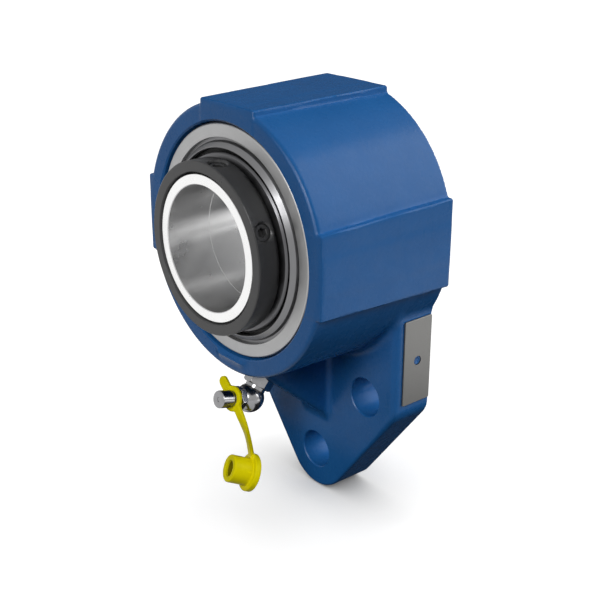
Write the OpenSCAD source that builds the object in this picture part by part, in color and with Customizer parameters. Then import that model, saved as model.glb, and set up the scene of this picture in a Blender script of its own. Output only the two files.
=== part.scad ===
// Three-bolt bracket flanged bearing unit: a cast housing with a
// self-aligning ball bearing insert, locked to its shaft by a collar.
// The shaft runs along Y, the open side of the housing faces -Y and the
// machine that it is bolted to is on the +Y side. Sizes in millimetres.

/* [Bearing insert] */
// Diameter of the shaft that the insert takes
shaft_d = 44.45; // [38:0.05:45]
// Outside diameter of the outer ring, measured over its sphere
outer_ring_d = 85; // [84:0.5:87]
// Width of the outer ring
outer_ring_w = 20; // [18:0.5:21]
// How far the ball circle lies outside the middle between shaft and outer ring
pitch_out = 0.1375; // [0:0.0125:0.3]
// Height of the outer ring's bore above the ball circle, beside the raceway
outer_shoulder_out = 4.05; // [3.8:0.05:4.4]
// Ball diameter
ball_d = 12.7; // [12:0.1:13]
// Number of balls
ball_count = 9; // [7:1:9]
// Raceway radius as a share of the ball diameter
conformity = 0.52; // [0.515:0.005:0.53]
// Width of the inner ring
inner_ring_w = 49.2; // [46:0.1:52]
// Length of the inner ring in front of the ball centres
inner_ring_front = 21; // [20:0.1:23]
// Depth of the inner ring's surface below the ball circle, beside the raceway
inner_shoulder_in = 4.2; // [3.9:0.05:4.7]
// Step from there down to the ends of the inner ring
inner_end_in = 2.35; // [2:0.05:2.8]
// Half length of the thick middle of the inner ring
inner_middle = 10.4; // [9.8:0.1:11]

/* [Seals and flingers] */
// Thickness of the pressed steel in the seals and flingers
sheet_t = 0.6; // [0.4:0.05:0.8]
// Gap between the edge of a flinger and the bore of the outer ring
flinger_in = 4.65; // [4.5:0.05:6]
// Gap between a flinger and the rolled lip of its seal
seal_lip_gap = 1.2; // [1:0.05:1.5]
// How far a seal's bead lies inside the bore of the outer ring
seal_bead_in = 1.85; // [1.6:0.05:2.1]
// How far a seal's lip stands out of the outer ring
seal_out = 1.3; // [0.8:0.1:1.6]

/* [Cage] */
// Radial thickness of the cage
cage_t = 4.6; // [3.5:0.1:5]
// Width of the cage's solid side beyond the ball centres
cage_back = 7.0; // [6.9:0.05:7.1]
// Reach of the cage's claws on the other side of the ball centres
cage_claw = 3.2; // [2.5:0.1:4]

/* [Locking collar] */
// Wall of the collar round the inner ring
collar_wall = 4.5; // [3.5:0.1:5.5]
// Width of the collar
collar_w = 8.4; // [8:0.1:8.8]
// How far the collar stands out past the inner ring
collar_proud = 0.5; // [0:0.1:1]
// Depth of the cut-back in the collar's rear rim
collar_notch = 1.0; // [0.5:0.1:1.4]
// Thread diameter of the set screws
screw_d = 6; // [5:0.5:6]
// Hexagon socket of the set screws, across flats
screw_socket = 3; // [2.5:0.5:3]
// Place of the first set screw, in degrees from the top
screw_angle_a = 7; // [0:1:20]
// Place of the second set screw, in degrees from the top
screw_angle_b = 66; // [55:1:80]

/* [Housing barrel] */
// Wall of the barrel round the outer ring, at its front edge
barrel_wall = 6.25; // [5.5:0.05:7.5]
// How much wider the barrel's radius is at the mounting face
barrel_growth = 1.25; // [0.5:0.05:2.5]
// Length of the housing
housing_l = 59; // [56:0.5:64]
// Depth of the ball centres behind the front of the housing
seat_depth = 11; // [10:0.1:12]
// Half width of the spherical seat
seat_half = 7; // [6:0.1:7.5]
// How far the edge of the front opening stands over the outer ring
mouth_in = 0.3; // [0:0.05:0.4]
// Gap between the outer ring's size and the opening in the mounting face
rear_bore_out = 1.1; // [0.8:0.1:2]
// Rounding of the barrel's front edge
edge_r = 1.4; // [0.8:0.1:2]
// How far a pad lies inside the barrel's curve, at the front
pad_front_in = 0.25; // [0:0.05:0.6]
// How far a pad lies inside the barrel's curve, at the rear
pad_rear_in = 0.3; // [0:0.05:0.6]
// Width of a side pad at the front
pad_front_w = 29.4; // [26:0.2:34]
// Width of a side pad at the rear
pad_rear_w = 32.4; // [28:0.2:36]

/* [Flange] */
// Thickness of the flange
flange_t = 17.8; // [14:0.2:20]
// How far each side of the flange lies inside the barrel
flange_in = 7.53; // [6:0.01:9]
// Diameter of the bolt holes
bolt_hole_d = 14.9; // [12:0.1:16]
// Distance between the two upper bolt holes
bolt_spacing = 54.1; // [50:0.1:56]
// Distance from the axis down to the upper bolt holes
bolt_upper = 62.4; // [60:0.1:64]
// Distance from the axis down to the lower bolt hole
bolt_lower = 95.55; // [92:0.1:98]
// Radius of the flange around the lower bolt hole
toe_r = 15.7; // [14:0.1:17]
// Slope of the flange's lower sides, in degrees from upright
side_slope = 37.6; // [34:0.2:40]
// Radius of the flange's side corners
corner_r = 9.5; // [6:0.5:12]
// Thickness of the web under the barrel
web_t = 14.4; // [12.5:0.2:18]
// Slope of the web's lower edge, in degrees from level
web_slope = 40; // [38:0.5:41]
// Height of the web's lower edge at the flange, below the barrel's front
web_below = 29.45; // [28.6:0.05:30.6]

/* [Nameplate] */
// Gap between the nameplate and the curve of the flange above it
plate_gap_top = 0.35; // [0.2:0.05:1]
// Gap between the nameplate and the round corner of the flange below it
plate_gap_low = 1.5; // [1:0.1:5]
// Width of the nameplate
plate_w = 13.5; // [11:0.5:14]
// Thickness of the nameplate
plate_t = 0.7; // [0.5:0.1:1]
// Diameter of the hole in the nameplate
plate_hole_d = 3.5; // [3.2:0.1:4.5]

/* [Grease fitting] */
// Distance of the fitting in front of the flange
elbow_ahead = 27.3; // [26.5:0.1:28.5]
// Hexagon of the elbow, across flats
elbow_hex = 9.6; // [9:0.1:11]
// Height of the elbow's hexagon
elbow_hex_h = 4; // [3.5:0.1:4.4]
// Diameter of the elbow's ball
elbow_ball_d = 11; // [10.6:0.1:12]
// Height of the elbow's ball above the web
elbow_h = 9; // [8.6:0.1:10]
// Bend of the elbow, in degrees
elbow_bend = 65; // [60:1:67]
// Thread diameter of the elbow
thread_d = 6; // [5:0.5:6.5]
// Hexagon of the nipple, across flats
nipple_hex = 8; // [7:0.1:8.6]
// Reach of the nipple from the centre of the elbow's ball
nipple_reach = 14.6; // [14:0.1:15.5]
// Diameter of the nipple's head
nipple_d = 6.5; // [6.2:0.05:6.6]
// Diameter of the check ball
check_d = 2.4; // [2.2:0.05:2.5]
// Travel of the check ball
check_travel = 1.2; // [0.8:0.1:1.4]

/* [Dust cap] */
// Outside diameter of the cap's ring
ring_d = 9.5; // [9:0.1:10.5]
// Thickness of the ring, the strap and the tab
strap_t = 1.4; // [1:0.1:1.6]
// Width of the strap
strap_w = 2.8; // [2:0.1:3.4]
// Outside diameter of the cap's cup
cup_d = 10.4; // [9:0.1:11.5]
// Length of the cup without its rim
cup_l = 7.6; // [6.5:0.1:9]
// Diameter of the cup's rim
rim_d = 14.4; // [12.5:0.1:15]
// Thickness of the rim
rim_t = 2.5; // [1.5:0.1:3]
// Drop from the cap's ring down to its rim
strap_drop = 30; // [26:0.5:32]
// Turn of the cup away from the front, in degrees
cup_turn = 20; // [0:1:30]
// Upward tilt of the cup's mouth, in degrees
cup_tilt = 23; // [10:1:30]

/* [Clearances] */
// Radial gap between the outer ring and its seat
seat_gap = 0.05; // [0.02:0.01:0.1]
// Gap between a ball and the bottom of its raceway
ball_gap = 0.03; // [0.01:0.01:0.05]
// Gap between a ball and its pocket in the cage
pocket_gap = 0.1; // [0.05:0.01:0.2]
// Radial gap of running and sliding fits
run_gap = 0.05; // [0.02:0.01:0.1]
// Radial gap between the collar and the inner ring
collar_gap = 0.1; // [0.05:0.05:0.3]
// Open gap between turning and standing pieces
open_gap = 0.5; // [0.35:0.05:0.7]

/* [Hidden] */
$fn = 96;

casting_blue = "#2c588e";
ring_steel = "#c8c8c6";
sheet_steel = "#9a9b9c";
collar_black = "#3a3b3c";
seal_black = "#1d1d1f";
cage_cream = "#d9d2ba";
zinc = "#a8a9aa";
cap_yellow = "#e6dc00";

// Least gap between pieces that touch, and the thickness of a hull's slices
touch = 0.02;
thin = 0.01;

// Places along the shaft, measured from the ball centres
front_y = -seat_depth;
rear_y = housing_l - seat_depth;
flange_y = rear_y - flange_t;
ring_half = outer_ring_w / 2;
ring_front_y = -inner_ring_front;
ring_rear_y = inner_ring_w - inner_ring_front;
collar_y = ring_front_y - collar_proud;
collar_rear_y = collar_y + collar_w;
screw_y = collar_y + collar_w / 2;

// The bearing insert, built out from the middle between shaft and outer ring
pitch_d = (shaft_d + outer_ring_d) / 2 + 2 * pitch_out;
outer_shoulder_d = pitch_d + 2 * outer_shoulder_out;
inner_shoulder_d = pitch_d - 2 * inner_shoulder_in;
inner_end_d = inner_shoulder_d - 2 * inner_end_in;
flinger_d = outer_shoulder_d - 2 * flinger_in;
collar_d = inner_end_d + 2 * (collar_gap + collar_wall);

// The housing round the outer ring
mouth_d = outer_ring_d - 2 * mouth_in;
rear_bore_d = outer_ring_d + 2 * rear_bore_out;
barrel_front_d = outer_ring_d + 2 * barrel_wall;
barrel_rear_d = barrel_front_d + 2 * barrel_growth;
flange_w = barrel_rear_d - 2 * flange_in;

// The flat pads, measured from the axis
pad_front = barrel_front_d / 2 - pad_front_in;
pad_rear = barrel_rear_d / 2 - pad_rear_in;

// The seals' round edges
seal_lip_d = flinger_d + 2 * seal_lip_gap;
seal_bead_d = outer_shoulder_d - 2 * seal_bead_in;

// The web's lower edge: its height, and the direction out of it
web_drop = barrel_front_d / 2 + web_below;
function web_z(y) = -web_drop + (flange_y - y) * tan(web_slope);
web_out = [0, -sin(web_slope), -cos(web_slope)];
web_round = 2;

// The grease fitting: where it stands, the centre of its ball, and the nipple's direction
elbow_y = flange_y - elbow_ahead;
elbow_foot = [0, elbow_y, web_z(elbow_y)];
elbow_ball = elbow_foot + elbow_h * web_out;
nipple_lift = web_slope + elbow_bend - 90;
nipple_out = [0, -cos(nipple_lift), sin(nipple_lift)];
thread_depth = 8;
elbow_turn = 12;
cone_foot = 0.82;
spigot_d = 5;
spigot_start = 1.6;
seat_flat = 4.2;
nipple_hex_h = 2.4;
ring_seat = seat_flat + nipple_hex_h;
ring_seat_l = 2.2;
head_start = ring_seat + ring_seat_l + 0.3;
oil_hole_r = 0.8;
check_bore_r = check_d / 2 + run_gap;
check_wall = 1;
check_c = nipple_reach - check_wall - sqrt(pow(check_d / 2, 2) - pow(oil_hole_r, 2)) - touch;

// The dust cap: the middle of its ring, and the middle of its rim below
rim_right = 5;
rim_back = 3.5;
ring_c = elbow_ball + (ring_seat + ring_seat_l - 0.1 - strap_t / 2) * nipple_out;
cup_out = [-sin(cup_turn) * cos(cup_tilt), -cos(cup_turn) * cos(cup_tilt), sin(cup_tilt)];
rim_c = ring_c + [rim_right, rim_back, -strap_drop];
strap_angle = 57;
tab_l = 8;
tab_r = 2;

// How the strap leaves the ring, and how it reaches the rim
strap_lead = 9;
strap_dip = 3;
strap_lean = 0.6;
strap_rise = 8;
strap_right = 1.5;
strap_front = 2.6;

// The side tangents of the flange
bolt_toe = [0, -bolt_lower];
side_n = [cos(side_slope), -sin(side_slope)];
side_reach = toe_r + bolt_lower * sin(side_slope);
corner_x = flange_w / 2 - corner_r;
corner_z = (corner_x * side_n[0] - side_reach + corner_r) / -side_n[1];
fillet_r = 6;
fillet_z = -sqrt(pow(barrel_rear_d / 2 + fillet_r, 2) - pow(flange_w / 2 + fillet_r, 2));
flange_top = -22;
flange_soft = 1.5;
cove_r = 3;
pad_root = 8;

// Grease groove in the seat, and the duct that feeds it
groove_y = 2.4;
groove_w = 4;
groove_deep = 1.6;
duct_r = 1.25;

function unit(v) = v / norm(v);
function lerp(a, b, t) = a + (b - a) * t;
function bezier(p, t) = p[0] * pow(1 - t, 3) + 3 * p[1] * t * pow(1 - t, 2)
    + 3 * p[2] * t * t * (1 - t) + p[3] * pow(t, 3);

// A turned shape: its outline gives radius and place along Y
module turned() {
    rotate([-90, 0, 0]) rotate_extrude() children();
}

// A flat shape in X and Z, from y to y + t
module plate_y(y, t) {
    translate([0, y + t, 0]) rotate([90, 0, 0]) linear_extrude(t) children();
}

// A flat shape in Y and Z, from x to x + t
module plate_x(x, t) {
    translate([x, 0, 0]) rotate([90, 0, 90]) linear_extrude(t) children();
}

// Turned about the shaft by an angle from the top towards +X, with +Z outwards
module at_clock(angle) {
    rotate([0, angle, 0]) children();
}

// A ring turned from an outline that is drawn for the front and mirrored for the rear
module both_ways(rear) {
    mirror([0, rear ? 1 : 0, 0]) turned() children();
}

// Local frames of the grease fitting: Z out of the web, and Z out of the nipple
module at_elbow() {
    translate(elbow_foot) rotate([180 - web_slope, 0, 0]) children();
}
module at_nipple() {
    translate(elbow_ball) rotate([90 - nipple_lift, 0, 0]) children();
}

// Housing

module barrel() {
    intersection() {
        turned() {
            polygon([[0, front_y], [barrel_front_d / 2 - edge_r, front_y], [barrel_front_d / 2, front_y + edge_r],
                [barrel_rear_d / 2, rear_y], [0, rear_y]]);
            translate([barrel_front_d / 2 - edge_r, front_y + edge_r]) circle(edge_r);
        }
        // The crown under each pad is cut back to just below the pad
        pad_planes();
    }
}

module pad_planes() {
    clip = 0.1;
    intersection_for(angle = [-90, 0, 90]) at_clock(angle)
        plate_x(-barrel_rear_d, 2 * barrel_rear_d)
            polygon([[front_y - 1, -2 * barrel_rear_d], [rear_y + 1, -2 * barrel_rear_d],
                [rear_y + 1, pad_rear - clip], [front_y - 1, pad_front - clip]]);
}

module pad_slice(y, t, half_w, top) {
    round_r = 1.2;
    base = pad_front - pad_root;
    plate_y(y, t) {
        for (side = [-1, 1]) translate([side * (half_w - round_r), top - round_r]) circle(round_r, $fn = 32);
        translate([-half_w, base]) square([2 * half_w, top - round_r - base]);
    }
}

module pad() {
    hull() {
        pad_slice(front_y, thin, pad_front_w / 2 - edge_r / 2, pad_front - edge_r / 2);
        pad_slice(front_y + edge_r / 2, thin, pad_front_w / 2, pad_front);
        pad_slice(rear_y - 1, 1, pad_rear_w / 2, pad_rear);
    }
}

module flange_outline(inset) {
    translate(bolt_toe) circle(toe_r - inset);
    for (side = [-1, 1]) {
        translate([side * corner_x, corner_z]) circle(corner_r - inset);
        translate([side * (flange_w / 2 - inset - 1) - 1, flange_top]) square([2, 1]);
    }
}

module flange_plate() {
    hull() {
        plate_y(flange_y, thin) flange_outline(flange_soft);
        plate_y(flange_y + 0.3 * flange_soft, thin) flange_outline(0.55 * flange_soft);
        plate_y(flange_y + flange_soft, flange_t - flange_soft) flange_outline(0);
    }
}

// Concave corners where the flange's sides run up into the barrel
module side_fillets() {
    into = 4;
    cx = flange_w / 2 + fillet_r;
    meet = [cx, fillet_z] * (barrel_rear_d / 2) / (barrel_rear_d / 2 + fillet_r);
    for (side = [0, 1]) mirror([side, 0, 0])
        plate_y(flange_y + flange_soft, flange_t - flange_soft) difference() {
            polygon([[flange_w / 2, fillet_z], meet, meet + [-into, into / 2],
                [flange_w / 2 - into, fillet_z + into / 4]]);
            translate([cx, fillet_z]) circle(fillet_r);
        }
}

// A cove round the barrel where it meets the front of the flange
module barrel_cove() {
    flange_r = lerp(barrel_front_d, barrel_rear_d, (flange_y - front_y) / housing_l) / 2;
    inset = 2;
    intersection() {
        turned() difference() {
            translate([flange_r - inset, flange_y - cove_r]) square([cove_r + inset, cove_r + 1]);
            translate([flange_r + cove_r, flange_y - cove_r]) circle(cove_r);
        }
        translate([inset - flange_w / 2, flange_y - cove_r - 1, -bolt_upper])
            cube([flange_w - 2 * inset, cove_r + 1 + flange_soft, bolt_upper + flange_top - inset]);
    }
}

// The web between barrel and flange, with its lower edges rounded
module web() {
    into = 4;
    edge_in = 0.9;
    start_y = flange_y - (web_below + edge_in) / tan(web_slope);
    top = into - barrel_front_d / 2;
    run = flange_y + into - start_y;
    low = [0, flange_y + into, web_z(flange_y + into) + web_round / cos(web_slope)];
    hull() {
        for (side = [-1, 1]) translate(low + [side * (web_t / 2 - web_round), 0, 0])
            rotate([90 - web_slope, 0, 0]) cylinder(r = web_round, h = run / cos(web_slope), $fn = 32);
        translate([-web_t / 2, start_y, top - 1]) cube([web_t, run, 1]);
    }
}

// Coves between the web's sides and the flange
module web_coves() {
    top = 2 - barrel_front_d / 2;
    bottom = -web_drop + 1.5;
    for (side = [0, 1]) mirror([side, 0, 0])
        translate([web_t / 2, flange_y, bottom]) linear_extrude(top - bottom) difference() {
            translate([-1, -cove_r]) square([cove_r + 1, cove_r + 1]);
            translate([cove_r, -cove_r]) circle(cove_r);
        }
}

// The inside of the housing: mouth, spherical seat, grease groove and rear bore
module housing_bore() {
    seat_r = outer_ring_d / 2 + seat_gap;
    lip_r = sqrt(pow(seat_r, 2) - pow(seat_half, 2));
    turned() {
        polygon([[0, front_y - 1], [mouth_d / 2, front_y - 1], [mouth_d / 2, front_y], [lip_r, -seat_half],
            [0, -seat_half]]);
        intersection() {
            circle(seat_r);
            translate([0, -seat_half]) square([seat_r + 1, 2 * seat_half]);
        }
        polygon([[0, seat_half], [lip_r, seat_half], [rear_bore_d / 2, rear_y], [rear_bore_d / 2, rear_y + 1],
            [0, rear_y + 1]]);
        // Grease groove
        translate([0, groove_y]) square([seat_r + groove_deep, groove_w]);
    }
    // Two slots that let the insert in from the rear, turned on edge
    slot_w = outer_ring_w + 1.2;
    slot_r = seat_r + 0.4;
    intersection() {
        translate([-outer_ring_d, 0, -slot_w / 2]) cube([2 * outer_ring_d, rear_y + 1, slot_w]);
        rotate([-90, 0, 0]) cylinder(r = slot_r, h = rear_y + 1);
    }
}

// The tapped hole for the fitting, and the duct from it up to the groove
module grease_duct() {
    bottom = thread_depth + 1;
    low = elbow_foot - bottom * web_out;
    high = [0, groove_y + groove_w / 2, -outer_ring_d / 2];
    run = high - low;
    at_elbow() translate([0, 0, -bottom]) cylinder(d = thread_d, h = bottom + 1);
    translate(low) rotate([-atan2(run[1], run[2]), 0, 0]) translate([0, 0, -0.5])
        cylinder(r = duct_r, h = norm(run) + 0.5);
}

module housing() {
    color(casting_blue) difference() {
        union() {
            barrel();
            for (angle = [-90, 0, 90]) at_clock(angle) pad();
            flange_plate();
            side_fillets();
            barrel_cove();
            web();
            web_coves();
        }
        housing_bore();
        grease_duct();
        for (x = [-bolt_spacing / 2, bolt_spacing / 2]) bolt_hole(x, -bolt_upper);
        bolt_hole(0, -bolt_lower);
        pin_hole();
    }
}

module bolt_hole(x, z) {
    translate([x, flange_y - 1, z]) rotate([-90, 0, 0]) cylinder(d = bolt_hole_d, h = flange_t + 2);
}

// Nameplate and its drive pin

plate_edge = 0.6;
plate_mid_y = rear_y - plate_edge - plate_w / 2;
plate_top_z = fillet_z - plate_gap_top;
plate_l = plate_top_z - corner_z - plate_gap_low;
pin_z = plate_top_z - plate_l / 2 + 0.2;
pin_d = 2.4;
pin_l = 5;

module pin_hole() {
    depth = pin_l + 1;
    translate([flange_w / 2 - depth, plate_mid_y, pin_z]) rotate([0, 90, 0]) cylinder(d = pin_d, h = depth + 1);
}

module nameplate() {
    color(sheet_steel) difference() {
        translate([flange_w / 2, plate_mid_y - plate_w / 2, plate_top_z - plate_l]) cube([plate_t, plate_w, plate_l]);
        translate([flange_w / 2 - 1, plate_mid_y, pin_z]) rotate([0, 90, 0])
            cylinder(d = plate_hole_d, h = plate_t + 2);
    }
}

module nameplate_pin() {
    color(casting_blue) translate([flange_w / 2, plate_mid_y, pin_z]) rotate([0, 90, 0]) {
        cylinder(d = plate_hole_d - 2 * run_gap, h = plate_t - 0.2);
        translate([0, 0, -pin_l]) cylinder(d = pin_d - 2 * touch, h = pin_l + 0.1);
    }
}

// Outer ring, with its raceway, seal grooves and lubrication holes

groove_r = conformity * ball_d;
outer_groove_c = pitch_d / 2 + ball_d / 2 + ball_gap - groove_r;
inner_groove_c = pitch_d / 2 - ball_d / 2 - ball_gap + groove_r;
seal_seat_r = outer_shoulder_d / 2 + 0.7;
seal_seat_y = ring_half - 1.8;

module outer_ring() {
    color(ring_steel) difference() {
        turned() difference() {
            intersection() {
                circle(outer_ring_d / 2);
                translate([outer_shoulder_d / 2, -ring_half]) square([outer_ring_d / 2, outer_ring_w]);
            }
            translate([outer_groove_c, 0]) circle(groove_r);
            for (side = [-1, 1]) translate([0, side * seal_seat_y - sheet_t / 2 - 0.1])
                square([seal_seat_r, sheet_t + 0.2]);
        }
        for (angle = [60, 180, 300]) at_clock(angle) translate([0, groove_r * 0.8, outer_shoulder_d / 2 - 1])
            cylinder(r = oil_hole_r, h = outer_ring_d / 2, $fn = 24);
    }
}

// Seals: a pressed steel shell in the outer ring, and a rubber lip under it

module seal_shell(rear) {
    out_y = -ring_half - seal_out;
    bead_y = -ring_half - 0.1;
    color(sheet_steel) both_ways(rear) {
        // Foot in the groove of the outer ring, upright wall, bead and sloping lip
        polygon([[seal_bead_d / 2 - sheet_t, -seal_seat_y + sheet_t / 2],
            [seal_seat_r - run_gap, -seal_seat_y + sheet_t / 2], [seal_seat_r - run_gap, -seal_seat_y - sheet_t / 2],
            [seal_bead_d / 2 + 0.7, -seal_seat_y - sheet_t / 2], [seal_bead_d / 2 + sheet_t / 2, bead_y + 0.3],
            [seal_bead_d / 2, bead_y],
            [seal_lip_d / 2 + sheet_t / 2, out_y], [seal_lip_d / 2, out_y + sheet_t / 2],
            [seal_lip_d / 2, out_y + 3 * sheet_t], [seal_lip_d / 2 + sheet_t / 2, out_y + 3 * sheet_t],
            [seal_lip_d / 2 + sheet_t, out_y + 1.2 * sheet_t], [seal_bead_d / 2 - sheet_t, bead_y + sheet_t]]);
    }
}

module seal_lip(rear) {
    bond_y = -seal_seat_y + sheet_t / 2;
    tip_r = inner_shoulder_d / 2 + run_gap;
    color(seal_black) both_ways(rear)
        polygon([[outer_shoulder_d / 2 - open_gap, bond_y], [outer_shoulder_d / 2 - open_gap, bond_y + 0.5],
            [tip_r + 1, bond_y + 0.5], [tip_r + 0.3, bond_y + 0.3],
            [tip_r, bond_y - 0.1], [tip_r, bond_y - 0.5], [tip_r + 0.8, bond_y - 0.3], [tip_r + 1.4, bond_y - 0.3],
            [seal_bead_d / 2 - sheet_t - 0.1, bond_y - 0.3], [seal_bead_d / 2 - sheet_t - 0.1, bond_y]]);
}

// Inner ring, with clearance holes for the points of the set screws

module inner_ring() {
    chamfer = 0.6;
    color(ring_steel) difference() {
        turned() difference() {
            polygon([[shaft_d / 2, ring_front_y + chamfer], [shaft_d / 2 + chamfer, ring_front_y],
                [inner_end_d / 2 - chamfer, ring_front_y], [inner_end_d / 2, ring_front_y + chamfer],
                [inner_end_d / 2, -inner_middle - 1], [inner_shoulder_d / 2, -inner_middle],
                [inner_shoulder_d / 2, inner_middle], [inner_end_d / 2, inner_middle + 1],
                [inner_end_d / 2, ring_rear_y - chamfer], [inner_end_d / 2 - chamfer, ring_rear_y],
                [shaft_d / 2 + chamfer, ring_rear_y], [shaft_d / 2, ring_rear_y - chamfer]]);
            translate([inner_groove_c, 0]) circle(groove_r);
        }
        for (angle = [screw_angle_a, screw_angle_b]) at_clock(angle) translate([0, screw_y, 0])
            cylinder(d = point_d + 2 * run_gap, h = inner_end_d);
    }
}

// Flingers: pressed steel discs on the ends of the inner ring

module flinger(rear) {
    hub_r = inner_end_d / 2;
    hub_l = 1.3;
    back_y = -inner_middle - 1.2;
    color(sheet_steel) both_ways(rear)
        polygon([[hub_r, back_y - hub_l], [hub_r + sheet_t, back_y - hub_l],
            [hub_r + sheet_t + 0.2, back_y - sheet_t - 0.2],
            [hub_r + sheet_t + 0.6, back_y - sheet_t], [flinger_d / 2 - 0.6, back_y - sheet_t + 0.9],
            [flinger_d / 2, back_y + 1.1], [flinger_d / 2, back_y + 1.7], [flinger_d / 2 - sheet_t, back_y + 1.7],
            [flinger_d / 2 - sheet_t - 0.2, back_y + 1], [hub_r + 1.6, back_y], [hub_r, back_y]]);
}

// Locking collar and its two set screws

point_d = screw_d * 0.66;
screw_top = collar_d / 2 - 1;
point_r = shaft_d / 2 + 0.3;
notch_from = 26;
notch_to = 102;

module locking_collar() {
    bore_r = inner_end_d / 2 + collar_gap;
    chamfer = 0.5;
    flare = 0.8;
    color(collar_black) difference() {
        turned() polygon([[bore_r, collar_y + 2 * flare], [bore_r + flare, collar_y],
            [collar_d / 2 - chamfer, collar_y], [collar_d / 2, collar_y + chamfer], [collar_d / 2, collar_rear_y - chamfer],
            [collar_d / 2 - chamfer, collar_rear_y], [bore_r, collar_rear_y]]);
        for (angle = [screw_angle_a, screw_angle_b]) at_clock(angle) translate([0, screw_y, 0]) {
            cylinder(d = screw_d, h = collar_d);
            translate([0, 0, collar_d / 2 - 0.6]) cylinder(r1 = screw_d / 2, r2 = screw_d / 2 + 0.7, h = 0.7);
        }
        // Part of the rear rim is cut back
        translate([0, collar_rear_y - collar_notch, 0]) rotate([-90, 0, 0]) rotate([0, 0, notch_from - 90])
            rotate_extrude(angle = notch_to - notch_from) translate([bore_r - 1, 0])
                square([collar_d / 2 - bore_r + 2, collar_notch + 1]);
    }
}

module set_screw(angle) {
    socket_depth = 2.4;
    shoulder_r = inner_end_d / 2 + collar_gap + 0.2;
    color(collar_black) at_clock(angle) translate([0, screw_y, 0]) difference() {
        union() {
            translate([0, 0, shoulder_r]) cylinder(d = screw_d - 2 * run_gap, h = screw_top - shoulder_r);
            translate([0, 0, point_r]) cylinder(d = point_d, h = shoulder_r - point_r + 1);
        }
        translate([0, 0, screw_top - socket_depth])
            cylinder(d = screw_socket / cos(30), h = socket_depth + 1, $fn = 6);
    }
}

// Cage: a ring with a pocket for each ball, open to the front so that the balls snap in

module cage() {
    pocket_r = ball_d / 2 + pocket_gap;
    scallop_w = 6.4;
    color(cage_cream) difference() {
        turned() translate([pitch_d / 2 - cage_t / 2, -cage_claw]) square([cage_t, cage_claw + cage_back]);
        for (i = [1 : ball_count]) at_clock(ball_angle(i)) translate([0, 0, pitch_d / 2]) sphere(pocket_r);
        // Scallops between the claws
        for (i = [1 : ball_count]) at_clock(ball_angle(i + 0.5))
            translate([-scallop_w / 2, -cage_claw - 1, pitch_d / 2 - cage_t])
                cube([scallop_w, cage_claw + 2, 2 * cage_t]);
    }
}

function ball_angle(i) = 360 / ball_count * (i - 1);

module ball(i) {
    if (i <= ball_count)
        color(ring_steel) at_clock(ball_angle(i)) translate([0, 0, pitch_d / 2]) sphere(d = ball_d);
}

// Grease fitting: elbow, nipple, check ball and spring

module grease_elbow() {
    color(zinc) difference() {
        union() {
            at_elbow() {
                intersection() {
                    rotate([0, 0, elbow_turn]) cylinder(d = elbow_hex / cos(30), h = elbow_hex_h, $fn = 6);
                    cylinder(r1 = cone_foot * elbow_hex, r2 = elbow_hex / 2 + 0.1, h = elbow_hex_h);
                }
                cylinder(r = elbow_hex / 2 - 0.9, h = elbow_hex_h + 1);
                translate([0, 0, -thread_depth]) cylinder(d = thread_d - 0.1, h = thread_depth + 0.5);
            }
            translate(elbow_ball) sphere(d = elbow_ball_d);
        }
        at_elbow() translate([0, 0, -thread_depth - 1]) cylinder(r = 1.1, h = thread_depth + 1 + elbow_h);
        at_nipple() {
            translate([0, 0, seat_flat]) cylinder(r = elbow_ball_d, h = elbow_ball_d);
            cylinder(d = spigot_d, h = seat_flat + 1);
        }
    }
}

module grease_nipple() {
    neck_r = 2.3;
    color(zinc) at_nipple() difference() {
        union() {
            translate([0, 0, spigot_start]) cylinder(d = spigot_d - 0.1, h = seat_flat - spigot_start);
            translate([0, 0, seat_flat]) intersection() {
                cylinder(d = nipple_hex / cos(30), h = nipple_hex_h, $fn = 6);
                cylinder(r1 = cone_foot * nipple_hex, r2 = nipple_hex / 2 + 0.1, h = nipple_hex_h);
            }
            translate([0, 0, ring_seat - 0.5]) cylinder(r = ring_hole_r - run_gap, h = ring_seat_l + 0.5);
            translate([0, 0, ring_seat]) cylinder(r = neck_r, h = nipple_reach - ring_seat - 1);
            translate([0, 0, head_start]) cylinder(r1 = neck_r, r2 = nipple_d / 2, h = 0.5);
            translate([0, 0, head_start + 0.5]) cylinder(d = nipple_d, h = nipple_reach - head_start - 0.8);
            translate([0, 0, nipple_reach - 0.3]) cylinder(r1 = nipple_d / 2, r2 = nipple_d / 2 - 0.3, h = 0.3);
        }
        translate([0, 0, 1]) cylinder(r = oil_hole_r, h = nipple_reach);
        translate([0, 0, ring_seat]) cylinder(r = check_bore_r, h = nipple_reach - check_wall - ring_seat);
        translate([0, 0, nipple_reach - 0.4]) cylinder(r1 = oil_hole_r, r2 = oil_hole_r + 0.5, h = 0.5);
    }
}

module check_ball() {
    color(ring_steel) at_nipple() translate([0, 0, check_c]) sphere(d = check_d);
}

// The spring's wire is swept along a helix
module check_spring() {
    wire_r = 0.14;
    coil_r = check_d / 2 - wire_r - 0.05;
    low = ring_seat + wire_r + touch;
    high = check_c - sqrt(pow(check_d / 2 + wire_r, 2) - pow(coil_r, 2)) - 0.03;
    turns = 6;
    steps = 14;
    sides = 6;
    last = turns * steps;
    points = [for (i = [0 : last]) let (a = 360 * i / steps, z = lerp(low, high, i / last))
        for (j = [0 : sides - 1]) let (b = 360 * j / sides, r = coil_r + wire_r * cos(b))
            [r * cos(a), r * sin(a), z + wire_r * sin(b)]];
    walls = [for (i = [0 : last - 1], j = [0 : sides - 1]) let (k = (j + 1) % sides)
        [i * sides + j, (i + 1) * sides + j, (i + 1) * sides + k, i * sides + k]];
    ends = [[for (j = [0 : sides - 1]) j], [for (j = [sides - 1 : -1 : 0]) last * sides + j]];
    color(zinc) at_nipple() polyhedron(points, concat(walls, ends));
}

// Dust cap: ring, tab, strap and cup, moulded in one piece

ring_hole_r = 2.95;
cup_hole_r = nipple_d / 2 - 0.2;

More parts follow.
